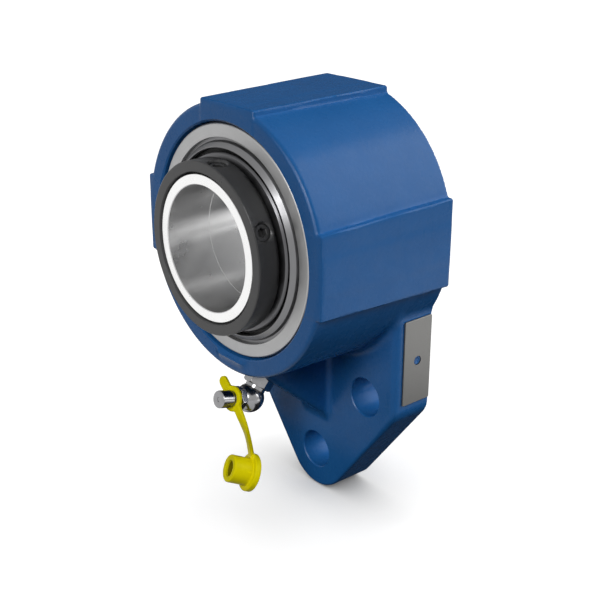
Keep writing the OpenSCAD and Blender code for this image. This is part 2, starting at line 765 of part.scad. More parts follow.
module dust_cap() {
    color(cap_yellow) {
        difference() {
            union() {
                translate(ring_c) rotate([90 - nipple_lift, 0, 0]) translate([0, 0, -strap_t / 2]) {
                    cylinder(d = ring_d, h = strap_t);
                    rotate([0, 0, 90 + strap_angle]) {
                        translate([0, -tab_r, 0]) cube([tab_l, 2 * tab_r, strap_t]);
                        translate([tab_l, 0, 0]) cylinder(r = tab_r, h = strap_t);
                    }
                }
                strap();
                cup_body();
            }
            translate(ring_c) rotate([90 - nipple_lift, 0, 0])
                cylinder(r = ring_hole_r, h = 3 * strap_t, center = true);
            at_cup() translate([0, 0, rim_t]) cylinder(r = cup_hole_r, h = cup_l + 1);
        }
    }
}

// Local frame of the cup: Z from the closed rim to the mouth
module at_cup() {
    translate(rim_c - rim_t / 2 * cup_out) rotate([0, 0, -cup_turn]) rotate([90 - cup_tilt, 0, 0]) children();
}

module cup_body() {
    soft = 0.5;
    at_cup() rotate_extrude() polygon([[0, 0], [rim_d / 2 - soft, 0], [rim_d / 2, soft], [rim_d / 2, rim_t - soft],
        [rim_d / 2 - soft, rim_t], [cup_d / 2 + 0.3, rim_t], [cup_d / 2, rim_t + 0.4],
        [cup_d / 2 - 0.1, rim_t + cup_l - soft], [cup_d / 2 - soft - 0.1, rim_t + cup_l], [0, rim_t + cup_l]]);
}

module strap() {
    leave = [sin(strap_angle), -cos(strap_angle) * sin(nipple_lift), -cos(strap_angle) * cos(nipple_lift)];
    up = unit([0, 0, 1] - cup_out[2] * cup_out);
    land = rim_c + (rim_d / 2 - 1) * up;
    path = [ring_c + (ring_d / 2 - 1) * leave, ring_c + strap_lead * leave - [0, strap_lean, strap_dip],
        land + [strap_right, -strap_front, strap_rise], land];
    steps = 14;
    spine = [for (i = [0 : steps]) bezier(path, i / steps)];
    function ahead(i) = unit(spine[min(i + 1, steps)] - spine[max(i - 1, 0)]);
    function across(i) = unit(cross(lerp(nipple_out, cup_out, i / steps), ahead(i)));
    function face(i) = cross(ahead(i), across(i));
    points = [for (i = [0 : steps]) for (corner = [[-1, -1], [1, -1], [1, 1], [-1, 1]])
        spine[i] + corner[0] * strap_w / 2 * across(i) + corner[1] * strap_t / 2 * face(i)];
    walls = [for (i = [0 : steps - 1], j = [0 : 3]) let (k = (j + 1) % 4)
        [4 * i + j, 4 * i + 4 + j, 4 * i + 4 + k, 4 * i + k]];
    polyhedron(points, concat(walls, [[0, 1, 2, 3], [4 * steps + 3, 4 * steps + 2, 4 * steps + 1, 4 * steps]]));
}

housing();
nameplate();
nameplate_pin();
outer_ring();
seal_shell(false);  // front_seal_shell
seal_lip(false);  // front_seal_lip
seal_shell(true);  // rear_seal_shell
seal_lip(true);  // rear_seal_lip
inner_ring();
flinger(false);  // front_flinger
flinger(true);  // rear_flinger
locking_collar();
set_screw(screw_angle_a);  // set_screw_top
set_screw(screw_angle_b);  // set_screw_side
cage();
ball(1);  // ball_1
ball(2);  // ball_2
ball(3);  // ball_3
ball(4);  // ball_4
ball(5);  // ball_5
ball(6);  // ball_6
ball(7);  // ball_7
ball(8);  // ball_8
ball(9);  // ball_9
grease_elbow();
grease_nipple();
check_ball();
check_spring();
dust_cap();
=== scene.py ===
# %% [markdown]
# # A bracket flanged bearing unit
#
# A blue cast housing holds a ball bearing insert, and a flange with three
# bolt holes hangs under it. A grease fitting with a yellow dust cap sits in
# front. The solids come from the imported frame. This lesson dresses them: a
# casting with real fillets, turned rings with broken edges, and a finish for
# every surface.

# %% Load the frame
import math

import bpy
import numpy as np
from mathutils import Matrix, Vector


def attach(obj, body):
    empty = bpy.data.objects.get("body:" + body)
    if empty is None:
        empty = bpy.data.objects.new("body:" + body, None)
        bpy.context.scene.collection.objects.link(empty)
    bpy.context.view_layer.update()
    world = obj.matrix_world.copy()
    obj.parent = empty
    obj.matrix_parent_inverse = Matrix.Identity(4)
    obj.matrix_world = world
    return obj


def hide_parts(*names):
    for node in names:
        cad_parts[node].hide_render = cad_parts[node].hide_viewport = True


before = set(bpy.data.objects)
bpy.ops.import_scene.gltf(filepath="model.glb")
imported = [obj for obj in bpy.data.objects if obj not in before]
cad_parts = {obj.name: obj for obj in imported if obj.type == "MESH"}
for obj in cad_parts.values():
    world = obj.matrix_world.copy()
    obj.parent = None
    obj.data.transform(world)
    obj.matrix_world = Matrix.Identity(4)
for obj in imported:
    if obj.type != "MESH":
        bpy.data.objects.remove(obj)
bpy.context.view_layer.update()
MM = 0.001

# %% [markdown]
# ## Where the camera stands
#
# The photograph was taken with a long lens from the right and a little above.
# A camera can be aimed at a target, but a small roll is lost that way. Here
# the three directions of the camera are written out instead, so the roll that
# the photograph has is kept.

# %% Camera
CAMERA_PLACE = Vector((298.82, -232.94, 127.25)) * MM
CAMERA_AZIMUTH = math.radians(49.574)
CAMERA_ELEVATION = math.radians(21.776)
CAMERA_ROLL = math.radians(0.148)

back = Vector((math.sin(CAMERA_AZIMUTH) * math.cos(CAMERA_ELEVATION),
               -math.cos(CAMERA_AZIMUTH) * math.cos(CAMERA_ELEVATION), math.sin(CAMERA_ELEVATION)))
level = Vector((math.cos(CAMERA_AZIMUTH), math.sin(CAMERA_AZIMUTH), 0))
upright = back.cross(level)
right = level * math.cos(CAMERA_ROLL) + upright * math.sin(CAMERA_ROLL)
up = upright * math.cos(CAMERA_ROLL) - level * math.sin(CAMERA_ROLL)

camera_data = bpy.data.cameras.new("camera")
camera_data.lens = 68.0
camera_data.sensor_width = 36.0
camera_data.clip_start = 0.01
camera_data.clip_end = 50
camera = bpy.data.objects.new("camera", camera_data)
bpy.context.scene.collection.objects.link(camera)
camera.matrix_world = Matrix((right, up, back)).transposed().to_4x4()
camera.matrix_world.translation = CAMERA_PLACE
bpy.context.scene.camera = camera
bpy.context.scene.view_settings.view_transform = "Standard"
print("camera:", round(CAMERA_PLACE.length / MM), "mm from the origin, lens", camera_data.lens, "mm")

# %% [markdown]
# ## Finishes
#
# Each finish is a small set of nodes. A noise in object coordinates gives the
# grain, so it stays on the piece when the piece moves. The first helper makes
# a material with its shader, and the next ones add nodes to it.

# %% Material helper
def finish(name, colour, roughness, metallic=0.0, **sockets):
    """A new material: returns it with its node tree and its shader."""
    material = bpy.data.materials.new(name)
    material.use_nodes = True
    tree = material.node_tree
    shader = tree.nodes["Principled BSDF"]
    shader.inputs["Base Color"].default_value = (*colour, 1)
    shader.inputs["Roughness"].default_value = roughness
    shader.inputs["Metallic"].default_value = metallic
    for socket, value in sockets.items():
        shader.inputs[socket.replace("_", " ")].default_value = value
    return material, tree, shader


# %% [markdown]
# Nodes could be added by hand in the editor. Small helpers say the same in a
# line each: one adds any node, the others add sums, noises, ranges and bumps.

# %% Node helpers
def node(tree, kind, **inputs):
    """A new node with values or links on its inputs, by name or by number."""
    made = tree.nodes.new(kind)
    for key, value in inputs.items():
        socket = made.inputs[int(key[1:]) if key[1:].isdigit() else key.replace("_", " ")]
        if isinstance(value, bpy.types.NodeSocket):
            tree.links.new(value, socket)
        else:
            socket.default_value = value
    return made


def maths(tree, operation, a, b=0.0):
    made = node(tree, "ShaderNodeMath", i0=a, i1=b)
    made.operation = operation
    return made.outputs[0]


def place(tree):
    """The point on the surface, in metres in the frame."""
    return node(tree, "ShaderNodeTexCoord").outputs["Object"]


def noise(tree, size_mm, detail=2.0, vector=None):
    """Noise whose grains are about size_mm across."""
    made = node(tree, "ShaderNodeTexNoise", Vector=vector or place(tree), Scale=1 / (size_mm * MM),
                Detail=detail)
    return made.outputs["Fac"]


def spread(tree, value, low, high, at=(0.3, 0.7)):
    """Value, taken from the range at to the range low to high."""
    made = node(tree, "ShaderNodeMapRange", Value=value, From_Min=at[0], From_Max=at[1],
                To_Min=low, To_Max=high)
    return made.outputs["Result"]


def two_colours(tree, value, low, high):
    made = node(tree, "ShaderNodeMix")
    made.data_type = "RGBA"
    tree.links.new(value, made.inputs["Factor"])
    for socket, colour in zip([s for s in made.inputs if s.type == "RGBA"], (low, high)):
        socket.default_value = (*colour, 1)
    return [s for s in made.outputs if s.type == "RGBA"][0]


def bump(tree, shader, height, depth_mm, strength=1.0):
    made = node(tree, "ShaderNodeBump", Strength=strength, Distance=depth_mm * MM, Height=height)
    tree.links.new(made.outputs["Normal"], shader.inputs["Normal"])


# %% [markdown]
# ### Enamel on cast iron
#
# The housing is sprayed with blue enamel. It is glossy, but the sand-cast skin
# under it shows as a fine pebble, and the film itself has a slight orange
# peel. Two noises of different size make that relief, a third one varies the
# gloss a little, and a fourth one the colour. A photograph of a casting could
# be wrapped round the piece instead, but noises have no seam and no end.

# %% Enamel
CLOUD_MM, GLOSS_MM, PEEL_MM, PEBBLE_MM = 14, 5, 1.5, 0.55
PEBBLE_SHARE, RELIEF_MM = 0.35, 0.042


def enamel(name, colour, deep, pebble=1.0):
    material, tree, shader = finish(name, colour, 0.28, Specular_IOR_Level=0.12)
    cloud = noise(tree, CLOUD_MM, 3)
    tree.links.new(two_colours(tree, spread(tree, cloud, 0, 1), deep, colour), shader.inputs["Base Color"])
    tree.links.new(spread(tree, noise(tree, GLOSS_MM, 3), 0.24, 0.31), shader.inputs["Roughness"])
    grain = maths(tree, "MULTIPLY", noise(tree, PEBBLE_MM, 1), PEBBLE_SHARE)
    peel = maths(tree, "ADD", noise(tree, PEEL_MM, 2), grain)
    bump(tree, shader, peel, RELIEF_MM * pebble)
    return material


blue_enamel = enamel("blue_enamel", (0.013, 0.110, 0.330), (0.011, 0.100, 0.305))
blue_smooth = enamel("blue_smooth", (0.012, 0.103, 0.310), (0.010, 0.093, 0.285), 0.4)
print("enamels:", blue_enamel.name, "and", blue_smooth.name)

# %% [markdown]
# ### Turned and ground steel
#
# A lathe leaves fine rings round the axis, and light spreads across them. The
# distance from the shaft's axis, plus the place along it, drives a noise in one
# dimension, which gives rings of uneven depth on faces and on walls alike. The
# shader's anisotropy stretches highlights along the tangent, which runs round
# the Y axis, so a quarter turn lays the stretch across the rings. The inner
# ring gets two of these finishes, a bright one outside and one for its bore.

# %% Turned steel
QUARTER_TURN = 0.25
WORN_MM = 6


def turned_steel(name, colour, roughness, ring_mm=0.12, relief_mm=0.002, stretch=0.5, dark=0.88,
                 metallic=1.0, level=0.5):
    material, tree, shader = finish(name, colour, roughness, metallic, Anisotropic=stretch,
                                    Anisotropic_Rotation=QUARTER_TURN, Specular_IOR_Level=level)
    parts = node(tree, "ShaderNodeSeparateXYZ", Vector=place(tree))
    x, y, z = (parts.outputs[i] for i in range(3))
    squares = maths(tree, "ADD", maths(tree, "MULTIPLY", x, x), maths(tree, "MULTIPLY", z, z))
    line = maths(tree, "ADD", maths(tree, "SQRT", squares), y)
    rings = node(tree, "ShaderNodeTexNoise", Scale=1.0, Detail=3.0)
    rings.noise_dimensions = "1D"
    tree.links.new(maths(tree, "MULTIPLY", line, 1 / (ring_mm * MM)), rings.inputs["W"])
    worn = noise(tree, WORN_MM, 3)
    ring_part = maths(tree, "MULTIPLY", rings.outputs["Fac"], 0.6)
    tone = maths(tree, "ADD", ring_part, maths(tree, "MULTIPLY", worn, 0.4))
    darker = tuple(c * dark for c in colour)
    tree.links.new(two_colours(tree, spread(tree, tone, 0, 1), darker, colour), shader.inputs["Base Color"])
    tree.links.new(spread(tree, worn, roughness * 0.85, roughness * 1.15), shader.inputs["Roughness"])
    tangent = node(tree, "ShaderNodeTangent")
    tangent.direction_type = "RADIAL"
    tangent.axis = "Y"
    tree.links.new(tangent.outputs["Tangent"], shader.inputs["Tangent"])
    if relief_mm:
        bump(tree, shader, rings.outputs["Fac"], relief_mm)
    return material


ring_steel = turned_steel("ring_steel", (0.40, 0.40, 0.40), 0.46, stretch=0.3)
face_steel = turned_steel("face_steel", (0.86, 0.86, 0.855), 0.28, relief_mm=0.001, stretch=0.5)
shield_steel = turned_steel("shield_steel", (0.20, 0.20, 0.205), 0.40, ring_mm=0.2, relief_mm=0.001)
flinger_steel = turned_steel("flinger_steel", (0.115, 0.115, 0.12), 0.34, ring_mm=0.2)
bore_steel = turned_steel("bore_steel", (0.56, 0.56, 0.56), 0.32, relief_mm=0, stretch=0.85)
black_steel = turned_steel("black_steel", (0.044, 0.044, 0.045), 0.32, ring_mm=0.25, relief_mm=0.002,
                           stretch=0.3, metallic=0.0, level=0.35)
print("turned steels:", [m.name for m in (ring_steel, face_steel, shield_steel, flinger_steel, bore_steel,
                                          black_steel)])

# %% [markdown]
# ### Small metals, rubber and plastics
#
# The fitting is zinc plated and bright, with a faint grain. The cap is a soft
# yellow plastic with hardly any gloss. The inside of its cup gets a darker
# colour of its own, which is painted shade: the shade that such a small hole holds.

# %% Small metals, rubber and plastics
def plain_metal(name, colour, roughness, grain_mm=0.4, relief_mm=0.002, dark=0.85, vary=0.12):
    material, tree, shader = finish(name, colour, roughness, 1.0)
    cloud = noise(tree, grain_mm * 5, 3)
    darker = tuple(c * dark for c in colour)
    tree.links.new(two_colours(tree, spread(tree, cloud, 0, 1), darker, colour), shader.inputs["Base Color"])
    rough = spread(tree, cloud, roughness * (1 - vary), roughness * (1 + vary))
    tree.links.new(rough, shader.inputs["Roughness"])
    bump(tree, shader, noise(tree, grain_mm, 2), relief_mm)
    return material


def moulded(name, colour, deep, roughness, relief_mm=0.01, **sockets):
    material, tree, shader = finish(name, colour, roughness, **sockets)
    cloud = noise(tree, 3.0, 2)
    tree.links.new(two_colours(tree, spread(tree, cloud, 0, 1), deep, colour), shader.inputs["Base Color"])
    tree.links.new(spread(tree, cloud, roughness * 0.9, roughness * 1.1), shader.inputs["Roughness"])
    bump(tree, shader, noise(tree, 0.35, 2), relief_mm)
    return material


zinc_plate = plain_metal("zinc_plate", (0.28, 0.28, 0.285), 0.18)
ball_steel = plain_metal("ball_steel", (0.70, 0.70, 0.70), 0.06, relief_mm=0.0)
spring_wire = plain_metal("spring_wire", (0.50, 0.50, 0.51), 0.25)
cap_plastic = moulded("cap_plastic", (0.88, 0.78, 0.002), (0.83, 0.73, 0.002), 0.40, 0.006,
                      Specular_IOR_Level=0.05)
# The cup's inside is painted shade: a darker yellow for the shade that the small hole holds.
cup_shade = moulded("cup_shade", (0.26, 0.22, 0.002), (0.20, 0.17, 0.002), 0.50, 0.006,
                    Specular_IOR_Level=0.05)
cage_plastic = moulded("cage_plastic", (0.62, 0.56, 0.42), (0.56, 0.50, 0.36), 0.45)
seal_rubber = moulded("seal_rubber", (0.016, 0.016, 0.017), (0.012, 0.012, 0.012), 0.6, 0.02)
print("metals:", [m.name for m in (zinc_plate, ball_steel, spring_wire)])
print("moulded:", [m.name for m in (cap_plastic, cup_shade, cage_plastic, seal_rubber)])

# %% [markdown]
# ### Brushed sheet
#
# The nameplate is brushed along its length. A noise whose coordinates are
# squeezed along Z draws out into lines, which is how a brush leaves them.

# %% Brushed sheet
BRUSH_MM, ALONG_BRUSH = 0.16, 0.04


def brushed_sheet(name, colour, roughness):
    material, tree, shader = finish(name, colour, roughness, 1.0, Anisotropic=0.5)
    drawn = node(tree, "ShaderNodeVectorMath", i0=place(tree), i1=(1, 1, ALONG_BRUSH))
    drawn.operation = "MULTIPLY"
    lines = noise(tree, BRUSH_MM, 3, drawn.outputs[0])
    darker = tuple(c * 0.86 for c in colour)
    tree.links.new(two_colours(tree, spread(tree, lines, 0, 1), darker, colour), shader.inputs["Base Color"])
    tree.links.new(spread(tree, lines, roughness * 0.85, roughness * 1.15), shader.inputs["Roughness"])
    bump(tree, shader, lines, 0.003)
    return material


nameplate_metal = brushed_sheet("nameplate_metal", (0.135, 0.134, 0.13), 0.42)
print("sheet:", nameplate_metal.name)

# %% [markdown]
# ## A casting from a distance field
#
# Box modelling could build the housing, but every corner where two walls meet
# would need its own fillet strip. A sand casting is easier to describe the
# other way round: a function says how far any point is from the surface, and
# two shapes are joined with a round corner of a stated radius. Where the
# function is zero, there is the skin.

# %% Joining two shapes
def round_join(a, b, r):
    """Both shapes, with a concave fillet of radius r between them."""
    u, v = np.maximum(r - a, 0), np.maximum(r - b, 0)
    return np.maximum(r, np.minimum(a, b)) - np.hypot(u, v)


def round_meet(a, b, r):
    """What is in both shapes, with the edge between them rounded to radius r."""
    u, v = np.maximum(r + a, 0), np.maximum(r + b, 0)
    return np.minimum(-r, np.maximum(a, b)) + np.hypot(u, v)


print("two planes that meet at the origin, joined with a 1 mm fillet:",
      round(float(round_join(np.zeros(1), np.zeros(1), 1.0)[0]), 3), "mm from the skin")

# %% [markdown]
# ### From the field to a mesh
#
# The mesh is made by the surface nets method. Each small cube that the skin
# passes through gets one point, and each grid edge that crosses it gets a face
# between four of those points. A few steps along the slope of the field bring
# the points onto the skin. Metaballs and remeshing could do this too, but they
# leave the size of each fillet to chance.

# %% Surface nets
def slope_of(field, points, step):
    """How fast the field grows along X, Y and Z at each point."""
    slopes = []
    for axis in np.eye(3) * step:
        slopes.append((field(points + axis) - field(points - axis)) / (2 * step))
    return np.stack(slopes, axis=1)


def skin(field, low, high, cell):
    """Points and faces of the zero surface of field inside a box, in millimetres."""
    counts = [int(math.ceil((h - l) / cell)) + 1 for l, h in zip(low, high)]
    axes = [l + cell * np.arange(n) for l, n in zip(low, counts)]
    values = np.empty(counts)
    for i, x in enumerate(axes[0]):
        y, z = np.meshgrid(axes[1], axes[2], indexing="ij")
        values[i] = field(np.stack([np.full(y.size, x), y.ravel(), z.ravel()], axis=1)).reshape(y.shape)
    inside = values < 0
    corners = [np.array(c) for c in np.ndindex(2, 2, 2)]
    small = [n - 1 for n in counts]
    total, hits = np.zeros((*small, 3)), np.zeros(small)

    def window(a, c):
        return a[c[0]:c[0] + small[0], c[1]:c[1] + small[1], c[2]:c[2] + small[2]]

    for c in corners:
        for axis in range(3):
            if c[axis]:
                continue
            d = c + np.eye(3, dtype=int)[axis]
            cut = window(inside, c) != window(inside, d)
            start, end = window(values, c)[cut], window(values, d)[cut]
            total[cut] += c + np.eye(3)[axis] * (start / (start - end))[:, None]
            hits[cut] += 1
    cubes = np.argwhere(hits > 0)
    number = np.full(small, -1)
    number[tuple(cubes.T)] = np.arange(len(cubes))
    points = np.array(low) + cell * (cubes + total[tuple(cubes.T)] / hits[tuple(cubes.T)][:, None])

    faces = []
    for axis in range(3):
        ahead = np.eye(3, dtype=int)[axis]
        b, c = (np.eye(3, dtype=int)[(axis + k) % 3] for k in (1, 2))
        edges = np.argwhere(inside[tuple(slice(0, n - a) for n, a in zip(counts, ahead))]
                            != inside[tuple(slice(a, n) for n, a in zip(counts, ahead))])
        fits = np.all((edges - b - c >= 0) & (edges < np.array(small)), axis=1)
        edges = edges[fits]
        quad = np.stack([number[tuple((edges - o).T)] for o in (0 * b, b, b + c, c)], axis=1)
        flip = ~inside[tuple(edges.T)]
        quad[flip] = quad[flip][:, ::-1]
        faces.append(quad)
    faces = np.concatenate(faces)
    for _ in range(3):
        slope = slope_of(field, points, cell * 0.2)
        length = np.maximum(np.sum(slope * slope, axis=1), 0.2)
        move = field(points)[:, None] * slope / length[:, None]
        points = points - np.clip(move, -cell / 2, cell / 2)
    return points, faces


# %% [markdown]
# Every new piece goes through one helper, which makes the object, smooths its
# shading, gives it a finish and says which body carries it.

# %% Piece helper
def piece(name, points_mm, faces, material, body, replaces=(), sharp=35):
    mesh = bpy.data.meshes.new(name)
    places = [tuple(p) for p in np.asarray(points_mm) * MM]
    mesh.from_pydata(places, [], [tuple(int(i) for i in f) for f in faces])
    mesh.validate()
    mesh.materials.append(material)
    made = bpy.data.objects.new(name, mesh)
    bpy.context.scene.collection.objects.link(made)
    shade(made, sharp)
    if body:
        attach(made, body)
        if replaces:
            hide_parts(*replaces)
    return made


def shade(made, sharp):
    """Smooth shading that stops at edges sharper than the angle."""
    for polygon in made.data.polygons:
        polygon.use_smooth = True
    made.data.set_sharp_from_angle(angle=math.radians(sharp))


def settle(made):
    """Applies the modifiers of a piece to its mesh."""
    bpy.context.view_layer.update()
    evaluated = made.evaluated_get(bpy.context.evaluated_depsgraph_get())
    mesh = bpy.data.meshes.new_from_object(evaluated)
    made.modifiers.clear()
    made.data = mesh


def cut(made, *tools, operation="DIFFERENCE"):
    """Cuts each tool out of a piece, and removes the tools. The cut keeps the piece's finish."""
    own = made.data.materials[0]
    for tool in tools:
        step = made.modifiers.new("cut", "BOOLEAN")
        step.operation = operation
        step.solver = "MANIFOLD"
        step.object = tool
        settle(made)
        bpy.data.objects.remove(tool)
    for polygon in made.data.polygons:
        polygon.material_index = 0
    made.data.materials.clear()
    made.data.materials.append(own)


# %% [markdown]
# ## The housing as it leaves the sand
#
# The barrel is a slight cone round the shaft, with three flat pads. A pattern
# must leave the sand, so barrel and pads grow a little towards the rear. The
# flange is a plate whose outline is a plane for each side and an arc for each
# corner, and the web stands under the barrel.

# %% Flange outline
FRONT, REAR, FLANGE = -11.0, 48.0, 30.2
FLANGE_HALF, FLANGE_TOP = 42.47, -22.0
TOE, TOE_R = np.array([0.0, -95.55]), 15.7
SIDE_SLOPE = math.radians(37.6)
CORNER_R = 9.5

side_out = np.array([math.cos(SIDE_SLOPE), -math.sin(SIDE_SLOPE)])
side_reach = TOE_R + side_out @ TOE
corner_x = FLANGE_HALF - CORNER_R
corner = np.array([corner_x, (corner_x * side_out[0] - side_reach + CORNER_R) / -side_out[1]])


def turn_of(a, b):
    return a[..., 0] * b[..., 1] - a[..., 1] * b[..., 0]


def flange_outline(x, z):
    q = np.stack([np.abs(x), z], axis=-1)
    planes = np.maximum(q[:, 0] - FLANGE_HALF, q @ side_out - side_reach)
    from_corner, from_toe = q - corner, q - TOE
    at_corner = (from_corner[:, 1] < 0) & (turn_of(side_out, from_corner) > 0)
    at_toe = turn_of(side_out, from_toe) < 0
    planes = np.where(at_corner, np.linalg.norm(from_corner, axis=1) - CORNER_R, planes)
    return np.where(at_toe, np.linalg.norm(from_toe, axis=1) - TOE_R, planes)


print("flange:", 2 * FLANGE_HALF, "mm wide, its lower corner at", corner.round(2), "mm")

# %% [markdown]
# The pads could be boxes joined to a cylinder. Written as distances, they take
# the same draft as the barrel, and their ridges get their own small radius.

# %% Barrel and pads
LENGTH = REAR - FRONT
BARREL_R, BARREL_GROWTH = 48.75, 1.25 / LENGTH
PAD_REACH, PAD_GROWTH = 48.5, 1.2 / LENGTH
PAD_HALF, PAD_WIDENING = 14.7, 1.5 / LENGTH
PAD_RIDGE, PAD_SUNK, PAD_FROM = 0.75, 0.1, 30


def barrel_and_pads(x, y, z):
    """Distances to the barrel and to its three pads, without their two ends."""
    from_front = y - FRONT
    pad_plane = PAD_REACH + PAD_GROWTH * from_front
    pad_half = PAD_HALF + PAD_WIDENING * from_front
    across, upward = np.abs(x), np.where(np.abs(x) > np.abs(z), 0, z)
    barrel = np.hypot(x, z) - BARREL_R - BARREL_GROWTH * from_front
    barrel = np.maximum(barrel, np.maximum(across, z) - pad_plane + PAD_SUNK)
    side_pad = round_meet(across - pad_plane, np.abs(z) - pad_half, PAD_RIDGE)
    top_pad = round_meet(z - pad_plane, across - pad_half, PAD_RIDGE)
    side_pad = np.maximum(side_pad, PAD_FROM - across)
    top_pad = np.maximum(top_pad, PAD_FROM - z)
    return barrel, np.minimum(side_pad, top_pad)


print("barrel:", 2 * BARREL_R, "mm in front and", 2 * (BARREL_R + BARREL_GROWTH * LENGTH), "mm at the rear")

# %% [markdown]
# The fillet between flange and barrel is 3 mm wide along the flange's front
# and 1 mm along its sides, as on the real one, and the flange's front edge is
# rounder towards the top than at the toe. Each of these is one named radius.

# %% Casting
WEB_HALF, WEB_DROP, WEB_SLOPE = 7.2, 78.2, math.radians(40)
WEB_TOP, WEB_ROOT, WEB_EDGE, WEB_COVE = -44, 6, 1.6, 2.6
BARREL_EDGE, PAD_EDGE, PAD_COVE, REAR_EDGE = 1.4, 0.65, 0.5, 0.4
EDGE_HEIGHTS, EDGE_RADII = [-84, -68], [1.2, 2.6]
COVE_DEPTHS, COVE_RADII = [FLANGE, FLANGE + 2.8], [3.0, 1.0]


def casting(points):
    """How far each point is from the skin of the raw casting, in millimetres."""
    x, y, z = points.T
    barrel, pads = barrel_and_pads(x, y, z)
    block = round_join(round_meet(barrel, FRONT - y, BARREL_EDGE), round_meet(pads, FRONT - y, PAD_EDGE),
                       PAD_COVE)
    plate = round_meet(flange_outline(x, z), FLANGE - y, np.interp(z, EDGE_HEIGHTS, EDGE_RADII))
    plate = np.maximum(plate, z - FLANGE_TOP)
    rise = -(y - FLANGE) * math.sin(WEB_SLOPE) - (z + WEB_DROP) * math.cos(WEB_SLOPE)
    web = round_meet(np.abs(x) - WEB_HALF, rise, WEB_EDGE)
    web = np.maximum(web, np.maximum(z - WEB_TOP, y - FLANGE - WEB_ROOT))
    upper = round_join(block, plate, np.interp(y, COVE_DEPTHS, COVE_RADII))
    body = round_join(upper, web, WEB_COVE)
    return round_meet(body, y - REAR, REAR_EDGE)


CELL = 0.7
points, faces = skin(casting, (-52, -13, -114), (52, 50, 52), CELL)
print("casting:", len(points), "points,", len(faces), "faces")
housing = piece("housing_casting", points, faces, blue_enamel, "housing", ["housing"],
                60)

# %% [markdown]
# ## Turned pieces
#
# Rings, seals and tools that go round an axis all start as an outline, given
# as radius and place along the axis. A third number on a corner rounds it,
# since no turned edge is truly sharp and the thin highlight along it is what
# makes a ring look real. A bevel modifier could do it too, but an outline with
# arcs keeps each radius apart.

# %% Rounding an outline
def rounded(outline, arc_steps=4):
    """The outline with an arc at each corner that has a radius."""
    corners = [np.array(c[:2], float) for c in outline]
    result = []
    for i, c in enumerate(outline):
        radius = c[2] if len(c) > 2 else 0
        here = corners[i]
        before, after = corners[i - 1] - here, corners[(i + 1) % len(corners)] - here
        a, b = np.linalg.norm(before), np.linalg.norm(after)
        if not radius or a < 1e-9 or b < 1e-9:
            result.append(here)
            continue
        u, v = before / a, after / b
        half = math.acos(max(-1, min(1, u @ v))) / 2
        reach = min(radius / math.tan(half), 0.49 * a, 0.49 * b)
        middle = here + (u + v) / np.linalg.norm(u + v) * reach / math.cos(half)
        start, end = here + u * reach - middle, here + v * reach - middle
        sweep = math.atan2(start[0] * end[1] - start[1] * end[0], start @ end)
        for k in range(arc_steps + 1):
            t = sweep * k / arc_steps
            turned = (start[0] * math.cos(t) - start[1] * math.sin(t),
                      start[0] * math.sin(t) + start[1] * math.cos(t))
            result.append(middle + np.array(turned))
    return result


def arc(centre, radius, start, end, steps=16):
    """Points on a circle in the outline's plane, from one angle to another in degrees."""
    angles = np.radians(np.linspace(start, end, steps + 1))
    return [(centre[0] + radius * math.cos(a), centre[1] + radius * math.sin(a)) for a in angles]


print("a square with one round corner has", len(rounded([(0, 0), (1, 0), (1, 1, 0.2), (0, 1)])), "points")

# %% [markdown]
# The spin itself could be Blender's screw modifier. Points and faces written
# out here are closed and in order, which the boolean cuts below need.

# %% Spinning it
def spun(outline, segments=160):
    """Points and faces of the closed outline spun round Z, with its second number along Z."""
    outline = rounded(outline)
    area = sum(p[0] * q[1] - q[0] * p[1] for p, q in zip(outline, outline[1:] + outline[:1]))
    if area < 0:
        outline = outline[::-1]
    points, rows = [], []
    for radius, height in outline:
        if radius < 1e-6:
            rows.append([len(points)] * segments)
            points.append((0, 0, height))
            continue
        rows.append(list(range(len(points), len(points) + segments)))
        for k in range(segments):
            angle = 2 * math.pi * k / segments
            points.append((radius * math.cos(angle), radius * math.sin(angle), height))
    faces = []
    for i, row in enumerate(rows):
        following = rows[(i + 1) % len(rows)]
        if row[0] == row[1] and following[0] == following[1]:
            continue
        for k in range(segments):
            m = (k + 1) % segments
            face = [row[k], row[m], following[m], following[k]]
            faces.append(list(dict.fromkeys(face)))
    return np.array(points, float), faces


# %% [markdown]
# The shaft runs along Y, so a turned piece is laid down from Z onto Y. Its
# shading is weighted by the size of the faces, because a flat beside a small
# round edge should look flat up to that edge.

# %% Turned pieces along the shaft
ALONG_SHAFT = np.array([[1, 0, 0], [0, 0, -1], [0, 1, 0]], float)


def along_shaft(points):
    """Turns a shape that stands on Z onto the shaft, so that its Z becomes Y."""
    return points @ ALONG_SHAFT


def turned_piece(name, outline, material, body, replaces=(), rear=False, sharp=30):
    outline = [(r, -y if rear else y, *rest) for r, y, *rest in outline]
    points, faces = spun(outline)
    made = piece(name, along_shaft(points), faces, material, body, replaces, sharp)
    weigh(made)
    return made


def weigh(made):
    """Lets large faces set the shading, so that flats next to a small round stay flat."""
    step = made.modifiers.new("weigh", "WEIGHTED_NORMAL")
    step.keep_sharp = True
    step.weight = 100
    settle(made)


print("Z turned onto the shaft:", along_shaft(np.array([0, 0, 1.0])))

# %% [markdown]
# ## Machining the casting
#
# A lathe opens the mouth, the spherical seat and the rear bore of the raw
# casting, and a drill makes the bolt holes. The same order works here: the
# tools are cut out of the cast mesh, and their edges stay crisp. First comes
# the outline of the turning tool, with the groove that spreads the grease.

# %% Seat tool
SEAT_R, SEAT_HALF, MOUTH_R, REAR_BORE_R = 42.55, 7.0, 42.2, 43.6
BOLT_R, BOLT_X, BOLT_UPPER, BOLT_LOWER = 7.45, 27.05, 62.4, 95.55
GROOVE_Y, GROOVE_W, GROOVE_DEEP = 2.4, 4.0, 1.6

